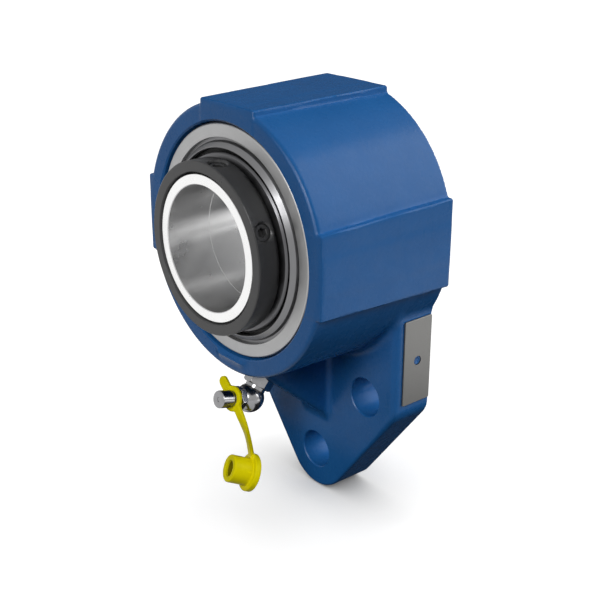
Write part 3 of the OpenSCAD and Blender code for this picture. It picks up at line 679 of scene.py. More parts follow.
lip_r = math.sqrt(SEAT_R ** 2 - SEAT_HALF ** 2)
lip_angle = math.degrees(math.asin(SEAT_HALF / SEAT_R))
groove_low = math.degrees(math.asin(GROOVE_Y / SEAT_R))
groove_high = math.degrees(math.asin((GROOVE_Y + GROOVE_W) / SEAT_R))
mouth_edge = MOUTH_R + 0.9
seat_tool = [(0, FRONT - 1), (mouth_edge, FRONT - 1), (mouth_edge, FRONT - 0.4), (MOUTH_R, FRONT + 0.5)]
seat_tool += arc((0, 0), SEAT_R, -lip_angle, groove_low, 10)
seat_tool += [(SEAT_R + GROOVE_DEEP, GROOVE_Y), (SEAT_R + GROOVE_DEEP, GROOVE_Y + GROOVE_W)]
seat_tool += [(SEAT_R * math.cos(math.radians(groove_high)), GROOVE_Y + GROOVE_W), (lip_r, SEAT_HALF)]
seat_tool += [(REAR_BORE_R, REAR - 0.5), (REAR_BORE_R + 1.5, REAR + 1), (0, REAR + 1)]
print("seat tool:", len(seat_tool), "corners, seat", 2 * SEAT_R, "mm across")

# %% [markdown]
# Two slots across the rear bore let the insert in edgeways, before it swivels
# into its seat. The slot tool is a bar with round ends, cut from a cylinder a
# little wider than the seat.

# %% Slots and bolt holes
BOLT_EDGE, PLATE_BREAK = 1.4, 0.35


def tool(points, faces):
    """A cutting tool: a piece that no body carries."""
    return piece("tool", points, faces, blue_enamel, None)


def block(low, high):
    """Points and faces of a box between two corners."""
    points = np.array([[(low, high)[c[a]][a] for a in range(3)] for c in np.ndindex(2, 2, 2)], float)
    faces = [(0, 1, 3, 2), (4, 6, 7, 5), (0, 4, 5, 1), (2, 3, 7, 6), (0, 2, 6, 4), (1, 5, 7, 3)]
    return points, faces


def bolt_tool(x, z):
    """A drill for one bolt hole, with a cone at each end that breaks the edge."""
    outline = [(0, FLANGE - 2), (BOLT_R + 2 + PLATE_BREAK, FLANGE - 2), (BOLT_R, FLANGE + PLATE_BREAK),
               (BOLT_R, REAR - 0.4), (BOLT_R + BOLT_EDGE, REAR + 1), (0, REAR + 1)]
    points, faces = spun(outline, 96)
    return tool(along_shaft(points) + np.array([x, 0, z]), faces)


slot_r, slot_half = SEAT_R + 0.4, 10.6
slots = tool(*block((-60, 0, -slot_half), (60, REAR + 1, slot_half)))
points, faces = spun([(0, 0.0), (slot_r, 0.0), (slot_r, REAR + 1), (0, REAR + 1)])
cut(slots, tool(along_shaft(points), faces), operation="INTERSECT")
points, faces = spun(seat_tool)
cut(housing, tool(along_shaft(points), faces), slots,
    bolt_tool(BOLT_X, -BOLT_UPPER), bolt_tool(-BOLT_X, -BOLT_UPPER), bolt_tool(0, -BOLT_LOWER))
shade(housing, 32)
weigh(housing)
print("housing:", len(housing.data.vertices), "points after machining")

# %% [markdown]
# ## The outer ring
#
# The outer ring is ground to a sphere on the outside, and its front face shows
# as a broad grey band. The balls run in a groove a little wider than they are,
# and a narrow groove at each side takes the rim of a seal.

# %% Outer ring
PITCH_R, BALL_R = 32.5, 6.35
CONFORMITY, PLAY = 0.52, 0.03
GROOVE_R = CONFORMITY * 2 * BALL_R
OUTER_R, OUTER_HALF, OUTER_SHOULDER = 42.5, 10.0, 36.55
SHEET = 0.6
SEAL_SEAT_R, SEAL_SEAT_Y = 37.25, 8.2

outer_centre = PITCH_R + BALL_R + PLAY - GROOVE_R
race_half = math.degrees(math.acos((OUTER_SHOULDER - outer_centre) / GROOVE_R))
sphere_half = math.degrees(math.asin(OUTER_HALF / OUTER_R))
race = arc((outer_centre, 0), GROOVE_R, -race_half, race_half, 16)
sphere = arc((0, 0), OUTER_R, sphere_half, -sphere_half, 16)
front_y, foot = -OUTER_HALF, SEAL_SEAT_Y + SHEET / 2 + 0.1
groove = [(OUTER_SHOULDER, foot), (SEAL_SEAT_R, foot), (SEAL_SEAT_R, foot - SHEET - 0.2),
          (OUTER_SHOULDER, foot - SHEET - 0.2)]
outer_ring = [(OUTER_SHOULDER, front_y, 0.3)] + [(r, -y) for r, y in groove] + race
outer_ring += [(r, y) for r, y in reversed(groove)] + [(OUTER_SHOULDER, OUTER_HALF, 0.3)]
outer_ring += [(*sphere[0], 0.7)] + sphere[1:-1] + [(*sphere[-1], 0.7)]
turned_piece("outer_ring_steel", outer_ring, ring_steel, "insert", ["outer_ring"])
print("outer ring:", len(outer_ring), "corners, race radius", round(GROOVE_R, 2), "mm")

# %% [markdown]
# Inside the ring a pressed shield steps down to a rolled lip. It is thin sheet,
# so its outline goes out along one side and back along the other.

# %% Shields
BEAD_R, LIP_R, SEAL_OUT = 34.7, 33.1, 1.3
out_y, bead_y = -OUTER_HALF - SEAL_OUT, -OUTER_HALF - 0.1
seal_shell = [
    (BEAD_R - SHEET, -SEAL_SEAT_Y + SHEET / 2, 0.2), (SEAL_SEAT_R - 0.05, -SEAL_SEAT_Y + SHEET / 2),
    (SEAL_SEAT_R - 0.05, -SEAL_SEAT_Y - SHEET / 2), (BEAD_R + 0.7, -SEAL_SEAT_Y - SHEET / 2, 0.3),
    (BEAD_R + SHEET / 2, bead_y + 0.3, 0.3), (BEAD_R, bead_y, 0.25),
    (LIP_R + SHEET / 2, out_y, 0.2), (LIP_R, out_y + SHEET / 2, 0.2), (LIP_R, out_y + 3 * SHEET, 0.1),
    (LIP_R + SHEET / 2, out_y + 3 * SHEET, 0.1), (LIP_R + SHEET, out_y + 1.2 * SHEET, 0.3),
    (BEAD_R - SHEET, bead_y + SHEET, 0.2)]
for side in ("front", "rear"):
    turned_piece(side + "_shield", seal_shell, shield_steel, "insert", [side + "_seal_shell"],
                 rear=side == "rear")

print("shields: two, of", SHEET, "mm sheet,", len(seal_shell), "corners each")

# %% [markdown]
# ## The inner ring
#
# The inner ring is the brightest piece: its end face is ground white, and a
# fine line is scribed round its bore. The faces of the bore are told by their
# distance from the shaft's axis, and get the bore's own finish.

# %% Inner ring
SHAFT_R, END_R, SHOULDER_R = 22.225, 25.95, 28.3
RING_FRONT, RING_REAR, MIDDLE = -21.0, 28.2, 10.4
BORE_DEPTH = 0.3

inner_centre = PITCH_R - BALL_R - PLAY + GROOVE_R
inner_half = math.degrees(math.acos((inner_centre - SHOULDER_R) / GROOVE_R))
SCRIBE_Y, SCRIBE = -3.0, 0.16
inner_ring = [(SHAFT_R, RING_FRONT, 0.35), (END_R, RING_FRONT, 0.35), (END_R, -MIDDLE - 1, 0.3),
              (SHOULDER_R, -MIDDLE, 0.3)]
inner_ring += arc((inner_centre, 0), GROOVE_R, 180 + inner_half, 180 - inner_half, 16)
inner_ring += [(SHOULDER_R, MIDDLE, 0.3), (END_R, MIDDLE + 1, 0.3), (END_R, RING_REAR, 0.35),
               (SHAFT_R, RING_REAR, 0.35)]
inner_ring += [(SHAFT_R, SCRIBE_Y + SCRIBE), (SHAFT_R + SCRIBE, SCRIBE_Y), (SHAFT_R, SCRIBE_Y - SCRIBE)]
sleeve = turned_piece("inner_ring_steel", inner_ring, face_steel, "shaft_sleeve",
                      ["inner_ring"])
sleeve.data.materials.append(bore_steel)
for polygon in sleeve.data.polygons:
    if math.hypot(polygon.center.x, polygon.center.z) < (SHAFT_R + BORE_DEPTH) * MM:
        polygon.material_index = 1
print("inner ring:", sum(p.material_index for p in sleeve.data.polygons), "faces in the bore")

# %% [markdown]
# ## Flingers
#
# A flinger is a thin pressed disc on each side of the inner ring. It turns
# with the shaft and throws dirt outwards before it can reach the lip.

# %% Flingers
back_y = -MIDDLE - 1.2
FLINGER_R = 31.9
flinger = [(END_R, back_y - 1.3, 0.1), (END_R + SHEET, back_y - 1.3, 0.15),
           (END_R + SHEET + 0.2, back_y - SHEET - 0.2, 0.2), (END_R + SHEET + 0.6, back_y - SHEET, 0.2),
           (FLINGER_R - 0.6, back_y - SHEET + 0.9, 0.5), (FLINGER_R, back_y + 1.1, 0.5),
           (FLINGER_R, back_y + 1.7, 0.1), (FLINGER_R - SHEET, back_y + 1.7, 0.1),
           (FLINGER_R - SHEET - 0.2, back_y + 1, 0.3),
           (END_R + 1.6, back_y, 0.3), (END_R, back_y, 0.1)]
for side in ("front", "rear"):
    turned_piece(side + "_slinger", flinger, flinger_steel, "shaft_sleeve",
                 [side + "_flinger"], rear=side == "rear")
print("flingers: two,", 2 * FLINGER_R, "mm across")

# %% [markdown]
# ## Locking collar
#
# The black collar slides over the inner ring and carries the set screws. Its
# bore flares at the front, and its rims have a small radius that catches the
# light.

# %% Collar
COLLAR_R, COLLAR_FRONT, COLLAR_REAR = 30.55, -21.5, -13.1
COLLAR_BORE, COLLAR_FLARE, COLLAR_EDGE = 26.05, 0.8, 0.45
collar_outline = [
    (COLLAR_BORE, COLLAR_FRONT + 2 * COLLAR_FLARE), (COLLAR_BORE + COLLAR_FLARE, COLLAR_FRONT, 0.15),
    (COLLAR_R, COLLAR_FRONT, COLLAR_EDGE), (COLLAR_R, COLLAR_REAR, COLLAR_EDGE),
    (COLLAR_BORE, COLLAR_REAR, 0.2)]
collar = turned_piece("collar_ring", collar_outline, black_steel, "shaft_sleeve",
                      ["locking_collar"])
print("collar:", 2 * COLLAR_R, "mm across,", round(COLLAR_REAR - COLLAR_FRONT, 1), "mm wide")

# %% [markdown]
# The rear rim of the collar is cut back by a millimetre over part of its round.
# A block that follows the rim cuts that notch, and a drill with a cone at its
# top makes each screw hole. Clock angles count from the top towards +X.

# %% Notch and screw holes of the collar
SCREW_Y, SCREW_R = -17.3, 3.0
SCREW_ANGLES = {"top": 7.0, "side": 66.0}
NOTCH_FROM, NOTCH_TO, NOTCH = 26.0, 102.0, 1.0


def at_clock(points, degrees):
    """Turns points about the shaft, from the top towards +X."""
    a = math.radians(degrees)
    turn = np.array([[math.cos(a), 0, math.sin(a)], [0, 1, 0], [-math.sin(a), 0, math.cos(a)]])
    return np.asarray(points) @ turn.T


def sector(r0, r1, y0, y1, start, end, steps=40):
    """A block that follows the collar's rim from one clock angle to another."""
    points, faces = [], []
    for k in range(steps + 1):
        angle = start + (end - start) * k / steps
        for r, y in ((r0, y0), (r1, y0), (r1, y1), (r0, y1)):
            points.append(at_clock((0, y, r), angle))
    for k in range(steps):
        for j in range(4):
            m = (j + 1) % 4
            faces.append((4 * k + j, 4 * k + m, 4 * k + 4 + m, 4 * k + 4 + j))
    faces += [(3, 2, 1, 0), (4 * steps, 4 * steps + 1, 4 * steps + 2, 4 * steps + 3)]
    return np.array(points), faces


def screw_tool(angle):
    """A drill for one set screw, which starts inside the inner ring."""
    sunk_r = SCREW_R + 0.8
    outline = [(0, 20.0), (SCREW_R, 20.0), (SCREW_R, COLLAR_R - 0.75), (sunk_r, COLLAR_R + 0.05),
               (sunk_r, COLLAR_R + 2), (0, COLLAR_R + 2)]
    points, faces = spun(outline, 64)
    return tool(at_clock(points + np.array([0, SCREW_Y, 0]), angle), faces)


rim = tool(*sector(COLLAR_BORE - 1, COLLAR_R + 1, COLLAR_REAR - NOTCH, COLLAR_REAR + 1,
                   NOTCH_FROM, NOTCH_TO))
cut(collar, rim, *[screw_tool(a) for a in SCREW_ANGLES.values()])
shade(collar, 30)
weigh(collar)
print("collar after the cuts:", len(collar.data.polygons), "faces")

# %% [markdown]
# ## Set screws
#
# Each screw is a short black stud with a hexagon socket, sunk a little below
# the collar's rim. The socket is cut with a six-sided tool.

# %% Set screws
POINT_R, SOCKET, SOCKET_DEPTH = 1.98, 3.0, 2.4
SUNK, TIP, STUD_R = 1.0, SHAFT_R + 0.3, SCREW_R - 0.05
screw_top, shoulder = COLLAR_R - SUNK, END_R + 0.3
socket_corner = SOCKET / 2 / math.cos(math.radians(30))
screw_outline = [(0, TIP), (POINT_R, TIP, 0.4), (POINT_R, shoulder), (STUD_R, shoulder, 0.3),
                 (STUD_R, screw_top, 0.35), (0, screw_top)]
socket_outline = [(0, screw_top - SOCKET_DEPTH - 0.5), (socket_corner, screw_top - SOCKET_DEPTH),
                  (socket_corner, screw_top - 0.2), (socket_corner + 1.2, screw_top + 1),
                  (0, screw_top + 1)]
for side, angle in SCREW_ANGLES.items():
    points, faces = spun(screw_outline, 64)
    screw = piece(side + "_set_screw", at_clock(points + np.array([0, SCREW_Y, 0]), angle), faces,
                  black_steel, "set_screw_" + side, ["set_screw_" + side])
    points, faces = spun(socket_outline, 6)
    cut(screw, tool(at_clock(points + np.array([0, SCREW_Y, 0]), angle), faces))
    shade(screw, 30)
    print(side, "set screw:", round(screw_top - TIP, 2), "mm long, at", angle, "degrees")

# %% [markdown]
# ## Nameplate
#
# A thin plate with round corners lies on the flange's side and is held by one
# pin. Its face is plain. A solidified plane with a bevel would do as well, but
# three rings of points give the plate and its broken upper edge in one go.

# %% Nameplate
PLATE_X, PLATE_T, PLATE_Y, PLATE_W, PLATE_TOP, PLATE_L = 42.47, 0.7, 40.65, 13.5, -28.4, 33.0
PLATE_HOLE_R, PIN_R, PIN_Z = 1.75, 1.7, -44.7


def rounded_plate(half_w, half_l, corner_r, thickness, edge=0.12, steps=5):
    """A plate with round corners and a small break along its upper edge, standing on Z."""
    rings = []
    for inset, height in ((0, 0), (0, thickness - edge), (edge, thickness)):
        ring = []
        for k, (sx, sy) in enumerate(((1, 1), (-1, 1), (-1, -1), (1, -1))):
            r = corner_r - inset
            for j in range(steps + 1):
                a = math.radians(90 * (k + j / steps))
                ring.append((sx * (half_w - corner_r) + r * math.cos(a),
                             sy * (half_l - corner_r) + r * math.sin(a), height))
        rings.append(ring)
    n = len(rings[0])
    faces = [tuple(reversed(range(n))), tuple(range(2 * n, 3 * n))]
    for level in range(2):
        for k in range(n):
            m = (k + 1) % n
            faces.append((level * n + k, level * n + m, (level + 1) * n + m, (level + 1) * n + k))
    return np.array(sum(rings, [])), faces


OUT_OF_SIDE = np.array([[0, 1, 0], [0, 0, 1], [1, 0, 0]], float)
points, faces = rounded_plate(PLATE_W / 2, PLATE_L / 2, 0.5, PLATE_T)
plate_middle = np.array([PLATE_X, PLATE_Y, PLATE_TOP - PLATE_L / 2])
plate = piece("name_plate", points @ OUT_OF_SIDE + plate_middle, faces, nameplate_metal, "housing",
              ["nameplate"])
points, faces = spun([(0, -1.0), (PLATE_HOLE_R, -1.0), (PLATE_HOLE_R, 2.0), (0, 2.0)], 48)
cut(plate, tool(points @ OUT_OF_SIDE + np.array([PLATE_X, PLATE_Y, PIN_Z]), faces))
shade(plate, 40)
print("nameplate:", PLATE_W, "x", PLATE_L, "x", PLATE_T, "mm")

# %% [markdown]
# The pin is driven into the casting through the plate's hole and painted with
# the housing. Its head has a shallow dish.

# %% Pin
SHANK_R, SHANK_L, HEAD_H, DISH = 1.15, 4.0, 0.42, 0.24
pin_outline = [(0, -SHANK_L), (SHANK_R, -SHANK_L), (SHANK_R, 0.0), (PIN_R, 0.0), (PIN_R, HEAD_H, 0.15),
               (1.0, HEAD_H, 0.15), (0.8, HEAD_H - DISH, 0.1), (0, HEAD_H - DISH)]
points, faces = spun(pin_outline, 48)
piece("plate_pin", points @ OUT_OF_SIDE + np.array([PLATE_X, PLATE_Y, PIN_Z]), faces, blue_smooth,
      "housing", ["nameplate_pin"])
print("pin: head", 2 * PIN_R, "mm across")

# %% [markdown]
# ## Grease fitting
#
# The fitting is a 65 degree elbow: a hexagon against the casting, a ball, and
# the nipple with a smaller hexagon. It stands square on the web's sloping
# front, so its directions are worked out from the slope of the web.

# %% Where the fitting stands
ELBOW_FOOT_Y, ELBOW_H, ELBOW_BALL_R = 2.9, 9.0, 5.5
BEND = math.radians(65)
foot = np.array([0, ELBOW_FOOT_Y, -WEB_DROP + (FLANGE - ELBOW_FOOT_Y) * math.tan(WEB_SLOPE)])
web_out = np.array([0, -math.sin(WEB_SLOPE), -math.cos(WEB_SLOPE)])
ball_centre = foot + ELBOW_H * web_out
lift = math.pi / 2 - (math.pi - WEB_SLOPE - BEND)
nipple_out = np.array([0, -math.cos(lift), math.sin(lift)])
print("fitting: foot at", foot.round(2), "mm, nipple lifted by", round(math.degrees(lift), 1), "degrees")

# %% [markdown]
# A hexagon from bar stock has its corners turned off by a cone. The same comes
# out here: a spun shape with cones at its ends is cut to six sides, and a fine
# bevel breaks the edges.

# %% Hexagon helpers
def standing(points, base, out):
    """Puts a shape that stands on Z at base, with its Z along out and its X along the frame's X."""
    x = np.array([1.0, 0, 0])
    return np.asarray(points) @ np.array([x, np.cross(out, x), out]) + base


def hexagon_prism(across, low, high, turn=0.0):
    """A six-sided bar on Z, across flats, turned by some degrees."""
    corner_r = across / 2 / math.cos(math.pi / 6)
    points, faces = spun([(0, low), (corner_r, low), (corner_r, high), (0, high)], 6)
    a = math.radians(turn)
    turned = np.array([[math.cos(a), math.sin(a), 0], [-math.sin(a), math.cos(a), 0], [0, 0, 1]])
    return points @ turned, faces


def hexagon_nut(name, outline, across, low, high, turn, base, out, replaces):
    """A spun outline cut to six flats, from low to high."""
    points, faces = spun(outline, 96)
    made = piece(name, standing(points, base, out), faces, zinc_plate, "housing", replaces)
    points, faces = hexagon_prism(across, low, high, turn)
    cut(made, tool(standing(points, base, out), faces), operation="INTERSECT")
    soften(made, 0.12)
    return made


def soften(made, width_mm, angle=32):
    """Breaks the edges of a piece with a small bevel."""
    step = made.modifiers.new("soften", "BEVEL")
    step.width = width_mm * MM
    step.segments = 2
    step.limit_method = "ANGLE"
    step.angle_limit = math.radians(angle)
    step.use_clamp_overlap = True
    settle(made)
    shade(made, 40)
    weigh(made)


points, faces = hexagon_prism(1.0, 0, 1)
print("a hexagon 1 mm across flats measures", round(2 * float(points[:, 0].max()), 3), "mm across corners")

# %% [markdown]
# The elbow is drawn as three pieces that run into one another: the hexagon on
# the casting, the stem inside it, which reaches down into the tapped hole, and
# the ball, which is flat where the nipple sits.

# %% Elbow
HEX, HEX_H, HEX_TURN = 9.6, 4.0, 12.0
STEM_R, STEM_L = 2.9, 7.5
SEAT_FLAT = 4.2
hex_in, hex_out = HEX / 2 - 0.1, HEX / 2 + 1.2
elbow_hexagon = [(0, -0.2), (hex_in, -0.2), (hex_out, 0.7), (hex_out, HEX_H - 0.75), (hex_in, HEX_H),
                 (0, HEX_H)]
hexagon_nut("elbow_hexagon", elbow_hexagon, HEX, -1, HEX_H + 1, HEX_TURN, foot, web_out, ["grease_elbow"])
stem_top_r = HEX / 2 - 0.9
points, faces = spun([(0, -STEM_L), (STEM_R, -STEM_L), (STEM_R, 0.0), (stem_top_r, 0.0),
                      (stem_top_r, HEX_H + 2), (0, HEX_H + 2)], 64)
piece("elbow_stem", standing(points, foot, web_out), faces, zinc_plate, "housing")
flat_angle = math.degrees(math.asin(SEAT_FLAT / ELBOW_BALL_R))
ball = [(0, -ELBOW_BALL_R)] + arc((0, 0), ELBOW_BALL_R, -85, flat_angle, 24) + [(0, SEAT_FLAT)]
points, faces = spun(ball, 96)
piece("elbow_ball", standing(points, ball_centre, nipple_out), faces, zinc_plate, "housing")
print("elbow: hexagon", HEX, "mm, ball", 2 * ELBOW_BALL_R, "mm")

# %% [markdown]
# The nipple has its own hexagon, a seat for the cap's ring, a neck, and the
# head that a grease gun grips. The mouth of its bore is a shallow dimple.

# %% Nipple
NIPPLE_HEX, NIPPLE_HEX_H, REACH, HEAD_R = 8.0, 2.4, 14.6, 3.25
SEAT_R_OF_RING, MOUTH, DIMPLE = 2.9, 0.9, 0.25
ring_seat = SEAT_FLAT + NIPPLE_HEX_H
neck_r, neck_from, head_from = 2.3, ring_seat + 2.2, ring_seat + 2.5
hex_in, hex_out = NIPPLE_HEX / 2 - 0.1, NIPPLE_HEX / 2 + 0.9
nipple_hexagon = [(0, SEAT_FLAT - 0.1), (hex_in, SEAT_FLAT - 0.1), (hex_out, SEAT_FLAT + 0.4),
                  (hex_out, ring_seat - 0.55), (hex_in, ring_seat), (0, ring_seat)]
hexagon_nut("nipple_hexagon", nipple_hexagon, NIPPLE_HEX, SEAT_FLAT - 1, ring_seat + 1, 0.0, ball_centre,
            nipple_out, ["grease_nipple"])
head = [(0, ring_seat - 0.1), (SEAT_R_OF_RING, ring_seat - 0.1), (SEAT_R_OF_RING, neck_from, 0.1),
        (neck_r, neck_from, 0.1), (neck_r, head_from - 0.2, 0.1), (HEAD_R, head_from + 0.3, 0.15),
        (HEAD_R, REACH, 0.3), (MOUTH, REACH, 0.1), (MOUTH - 0.1, REACH - DIMPLE), (0, REACH - DIMPLE)]
points, faces = spun(head, 96)
nipple = piece("nipple_head", standing(points, ball_centre, nipple_out), faces, zinc_plate, "housing")
weigh(nipple)
print("nipple: head", 2 * HEAD_R, "mm, reaches", REACH, "mm from the ball's centre")

# %% [markdown]
# ## Dust cap
#
# The cap is one soft moulding: a ring that snaps behind the nipple's head, a
# pull tab, a strap and a cup. Its corners all run into each other, so it is
# made from a distance field too, at a finer cell. The ring stands square on
# the nipple, and the cup hangs under it, turned and tilted as it fell.

# %% Where the cap hangs
STRAP_T, RING_R, RING_HOLE = 1.4, 4.75, 2.95
CUP_R, CUP_L, RIM_R, RIM_T, CUP_HOLE = 5.2, 7.6, 7.2, 2.5, 3.05
CUP_TURN, CUP_TILT = math.radians(20), math.radians(23)
RING_TO_RIM = np.array([5, 3.5, -30])

ring_centre = ball_centre + (neck_from - 0.1 - STRAP_T / 2) * nipple_out
rim_centre = ring_centre + RING_TO_RIM
cup_out = np.array([-math.sin(CUP_TURN) * math.cos(CUP_TILT), -math.cos(CUP_TURN) * math.cos(CUP_TILT),
                    math.sin(CUP_TILT)])
cup_base = rim_centre - RIM_T / 2 * cup_out
ring_side, ring_up = np.array([1.0, 0, 0]), np.cross(nipple_out, [1.0, 0, 0])
print("cap: ring at", ring_centre.round(1), "mm, rim at", rim_centre.round(1), "mm")

# %% [markdown]
# The strap leaves the ring sideways, bends over and comes down on the rim. Its
# middle is a Bezier curve with four points, the same curve that Blender's own
# Bezier objects use. The strap's flat side turns a little from the plane of the
# ring towards that of the cup on the way down.

# %% The strap's middle
STRAP_ANGLE, STRAP_LEAD, STRAP_TWIST = math.radians(57), 10, 0.35
LEAD_BEND, LAND_BEND = np.array([2.0, -0.6, -2.5]), np.array([1.8, -2.6, 10])
LAND_IN, LAND_SHIFT = 1.3, np.array([-2.4, 0, 0])


def strap_line(steps=28):
    """The middle of the strap: a curve from the ring down to the rim."""
    ring_down = np.array([0, math.sin(lift), math.cos(lift)])
    leave = math.sin(STRAP_ANGLE) * ring_side - math.cos(STRAP_ANGLE) * ring_down
    upward = np.array([0, 0, 1]) - cup_out[2] * cup_out
    land = rim_centre + (RIM_R - LAND_IN) * upward / np.linalg.norm(upward) + LAND_SHIFT
    ends = [ring_centre + (RING_R - 1) * leave, ring_centre + STRAP_LEAD * leave + LEAD_BEND,
            land + LAND_BEND, land]
    t = np.linspace(0, 1, steps + 1)[:, None]
    early = ends[0] * (1 - t) ** 3 + 3 * ends[1] * t * (1 - t) ** 2
    return early + 3 * ends[2] * t * t * (1 - t) + ends[3] * t ** 3


spine = strap_line()
ahead = np.gradient(spine, axis=0)
ahead /= np.linalg.norm(ahead, axis=1)[:, None]
share = np.linspace(0, 1, len(spine))[:, None]
across = np.cross(nipple_out + STRAP_TWIST * (cup_out - nipple_out) * share, ahead)
across /= np.linalg.norm(across, axis=1)[:, None]
thick = np.cross(ahead, across)
print("strap:", round(float(np.linalg.norm(np.diff(spine, axis=0), axis=1).sum()), 1), "mm long")

# %% [markdown]
# For each point, the nearest piece of the curve is found first. The distances
# to the strap's width, to its thickness and to its two ends then meet with
# round edges.

# %% The strap's distance
STRAP_HALF, STRAP_END = 1.65, 0.8
MOULD_EDGE, END_EDGE = 0.35, 0.1


def strap_field(points):
    """How far each point is from the strap."""
    gaps = np.linalg.norm(points[:, None, :] - spine[None], axis=2)
    best = np.argmin(gaps, axis=1)
    away = points - spine[best]
    along = np.sum(away * ahead[best], axis=1)
    low = np.clip(best + np.where(along > 0, 0, -1), 0, len(spine) - 2)
    step = spine[low + 1] - spine[low]
    t = np.clip(np.sum((points - spine[low]) * step, axis=1) / np.sum(step * step, axis=1), 0, 1)[:, None]
    centre = spine[low] + step * t
    side = across[low] * (1 - t) + across[low + 1] * t
    face = thick[low] * (1 - t) + thick[low + 1] * t
    away = points - centre
    sideways, facewards = np.sum(away * side, axis=1), np.sum(away * face, axis=1)
    beyond = away - side * sideways[:, None] - face * facewards[:, None]
    section = round_meet(np.abs(sideways) - STRAP_HALF, np.abs(facewards) - STRAP_T / 2, MOULD_EDGE)
    return round_meet(section, np.linalg.norm(beyond, axis=1) - STRAP_END, END_EDGE)


print("the strap's middle is", round(float(strap_field(spine[14:15])[0]), 2), "mm from its skin")

# %% [markdown]
# Ring and tab are one flat plate with a hole, the cup is a short tube on a
# flange, and the strap joins both with small fillets. Only points near the
# strap are measured against it, because that is the slow part.

# %% The cap's distance
TAB_L, TAB_R, TAB_COVE, STRAP_COVE = 8.0, 2.0, 0.8, 0.7
RIM_EDGE, CUP_EDGE, RING_EDGE, CUP_HOLE_EDGE = 0.55, 0.5, 0.25, 0.4
NEAR_STRAP, FAR_OFF, HOLE_REACH = 24, 9.0, 3


def cap_field(points):
    """How far each point is from the cap with its ring, tab, strap and cup."""
    away = points - ring_centre
    u, v, w = away @ ring_side, away @ ring_up, away @ nipple_out
    plate = np.abs(w) - STRAP_T / 2
    ring = round_meet(np.hypot(u, v) - RING_R, plate, MOULD_EDGE)
    tab_way = np.array([-math.sin(STRAP_ANGLE), math.cos(STRAP_ANGLE)])
    reach = np.clip(u * tab_way[0] + v * tab_way[1], 0, TAB_L)
    from_tab = np.hypot(u - reach * tab_way[0], v - reach * tab_way[1]) - TAB_R
    hook = round_join(ring, round_meet(from_tab, plate, MOULD_EDGE), TAB_COVE)
    down = points - cup_base
    h = down @ cup_out
    radius = np.linalg.norm(down - h[:, None] * cup_out, axis=1)
    rim = round_meet(radius - RIM_R, np.abs(h - RIM_T / 2) - RIM_T / 2, RIM_EDGE)
    cup = round_meet(radius - CUP_R, np.maximum(h - RIM_T - CUP_L, -h), CUP_EDGE)
    cup = round_join(rim, cup, MOULD_EDGE)
    near = np.linalg.norm(points - (ring_centre + rim_centre) / 2, axis=1) < NEAR_STRAP
    strap = np.full(len(points), FAR_OFF)
    strap[near] = strap_field(points[near])
    whole = np.minimum(round_join(hook, strap, STRAP_COVE), round_join(cup, strap, STRAP_COVE))
    whole = round_meet(whole, RING_HOLE - np.hypot(u, v) - 100 * (np.abs(w) > HOLE_REACH), RING_EDGE)
    return round_meet(whole, np.minimum(CUP_HOLE - radius, h - RIM_T), CUP_HOLE_EDGE)


print("the middle of the ring's hole is", round(float(cap_field(ring_centre[None])[0]), 2), "mm from the cap")

# %% [markdown]
# The mesh comes from the same surface nets as the casting. The faces inside
# the cup are told by their place, and get the darker colour, which is painted shade.

# %% Dust cap
SHADE_FROM, SHADE_TO = RIM_T - 0.3, RIM_T + CUP_L - 1.2
cap_cell = 0.25
cap_low = np.minimum(ring_centre, rim_centre) - np.array([11, 13, 10])
cap_high = np.maximum(ring_centre, rim_centre) + np.array([9, 8, 11])
points, faces = skin(cap_field, cap_low, cap_high, cap_cell)
print("dust cap:", len(points), "points")
cap = piece("yellow_dust_cap", points, faces, cap_plastic, "dust_cap", ["dust_cap"], 60)
# Faces inside the cup take the painted shade.
cap.data.materials.append(cup_shade)
for polygon in cap.data.polygons:
    down = np.array(polygon.center) / MM - cup_base
    height = down @ cup_out
    in_hole = np.linalg.norm(down - height * cup_out) < CUP_HOLE + 0.15
    if in_hole and SHADE_FROM < height < SHADE_TO:
        polygon.material_index = 1
print("inside of the cup:", sum(p.material_index for p in cap.data.polygons), "faces")

# %% [markdown]
# ## What stays as it is
#
# The balls, the cage, the seal lips and the check valve already have their
# true shapes in the frame, so they keep their meshes and get finishes only.

# %% Carried-over nodes
KEPT = {"cage": cage_plastic, "front_seal_lip": seal_rubber, "rear_seal_lip": seal_rubber,
        "check_ball": ball_steel, "check_spring": spring_wire}
KEPT.update({"ball_%d" % (i + 1): ball_steel for i in range(9)})
for name, material in KEPT.items():
    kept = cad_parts[name]
    kept.data.materials.clear()
    kept.data.materials.append(material)
print("kept as they are:", len(KEPT), "nodes")

# %% [markdown]
# ## Floor
#
# The object stands on its toe on a white floor. More light would make the
# floor white too, but it would bleach the object. So the floor is paler to the
# camera and to reflections than to the light that it sends back, and glows a
# little for them alone. Ambient occlusion takes that glow away close to the
# object, which paints a contact shadow there. From below, the floor is clear.

# %% Floor
FLOOR_Z, FLOOR_HALF, NEAR_M = -111.3, 6000, 0.03
UNSEEN_GREY, SEEN_GREY, GLOW = (0.03, 0.03, 0.03), (0.52, 0.52, 0.52), 0.60
floor_points, _ = block((-FLOOR_HALF, -FLOOR_HALF, FLOOR_Z - 1), (FLOOR_HALF, FLOOR_HALF, FLOOR_Z))
floor_material = bpy.data.materials.new("floor")
floor_material.use_nodes = True
tree = floor_material.node_tree
tree.nodes.clear()
path = node(tree, "ShaderNodeLightPath")
mirrored = maths(tree, "MAXIMUM", path.outputs["Is Glossy Ray"], path.outputs["Is Transmission Ray"])
seen = maths(tree, "MAXIMUM", path.outputs["Is Camera Ray"], mirrored)
pale = node(tree, "ShaderNodeBsdfDiffuse", Color=two_colours(tree, seen, UNSEEN_GREY, SEEN_GREY))
# Painted contact shadow: the glow fades where ambient occlusion finds the object close by.
near = node(tree, "ShaderNodeAmbientOcclusion", Distance=NEAR_M)
glow = maths(tree, "MULTIPLY", seen, maths(tree, "MULTIPLY", near.outputs["AO"], GLOW))
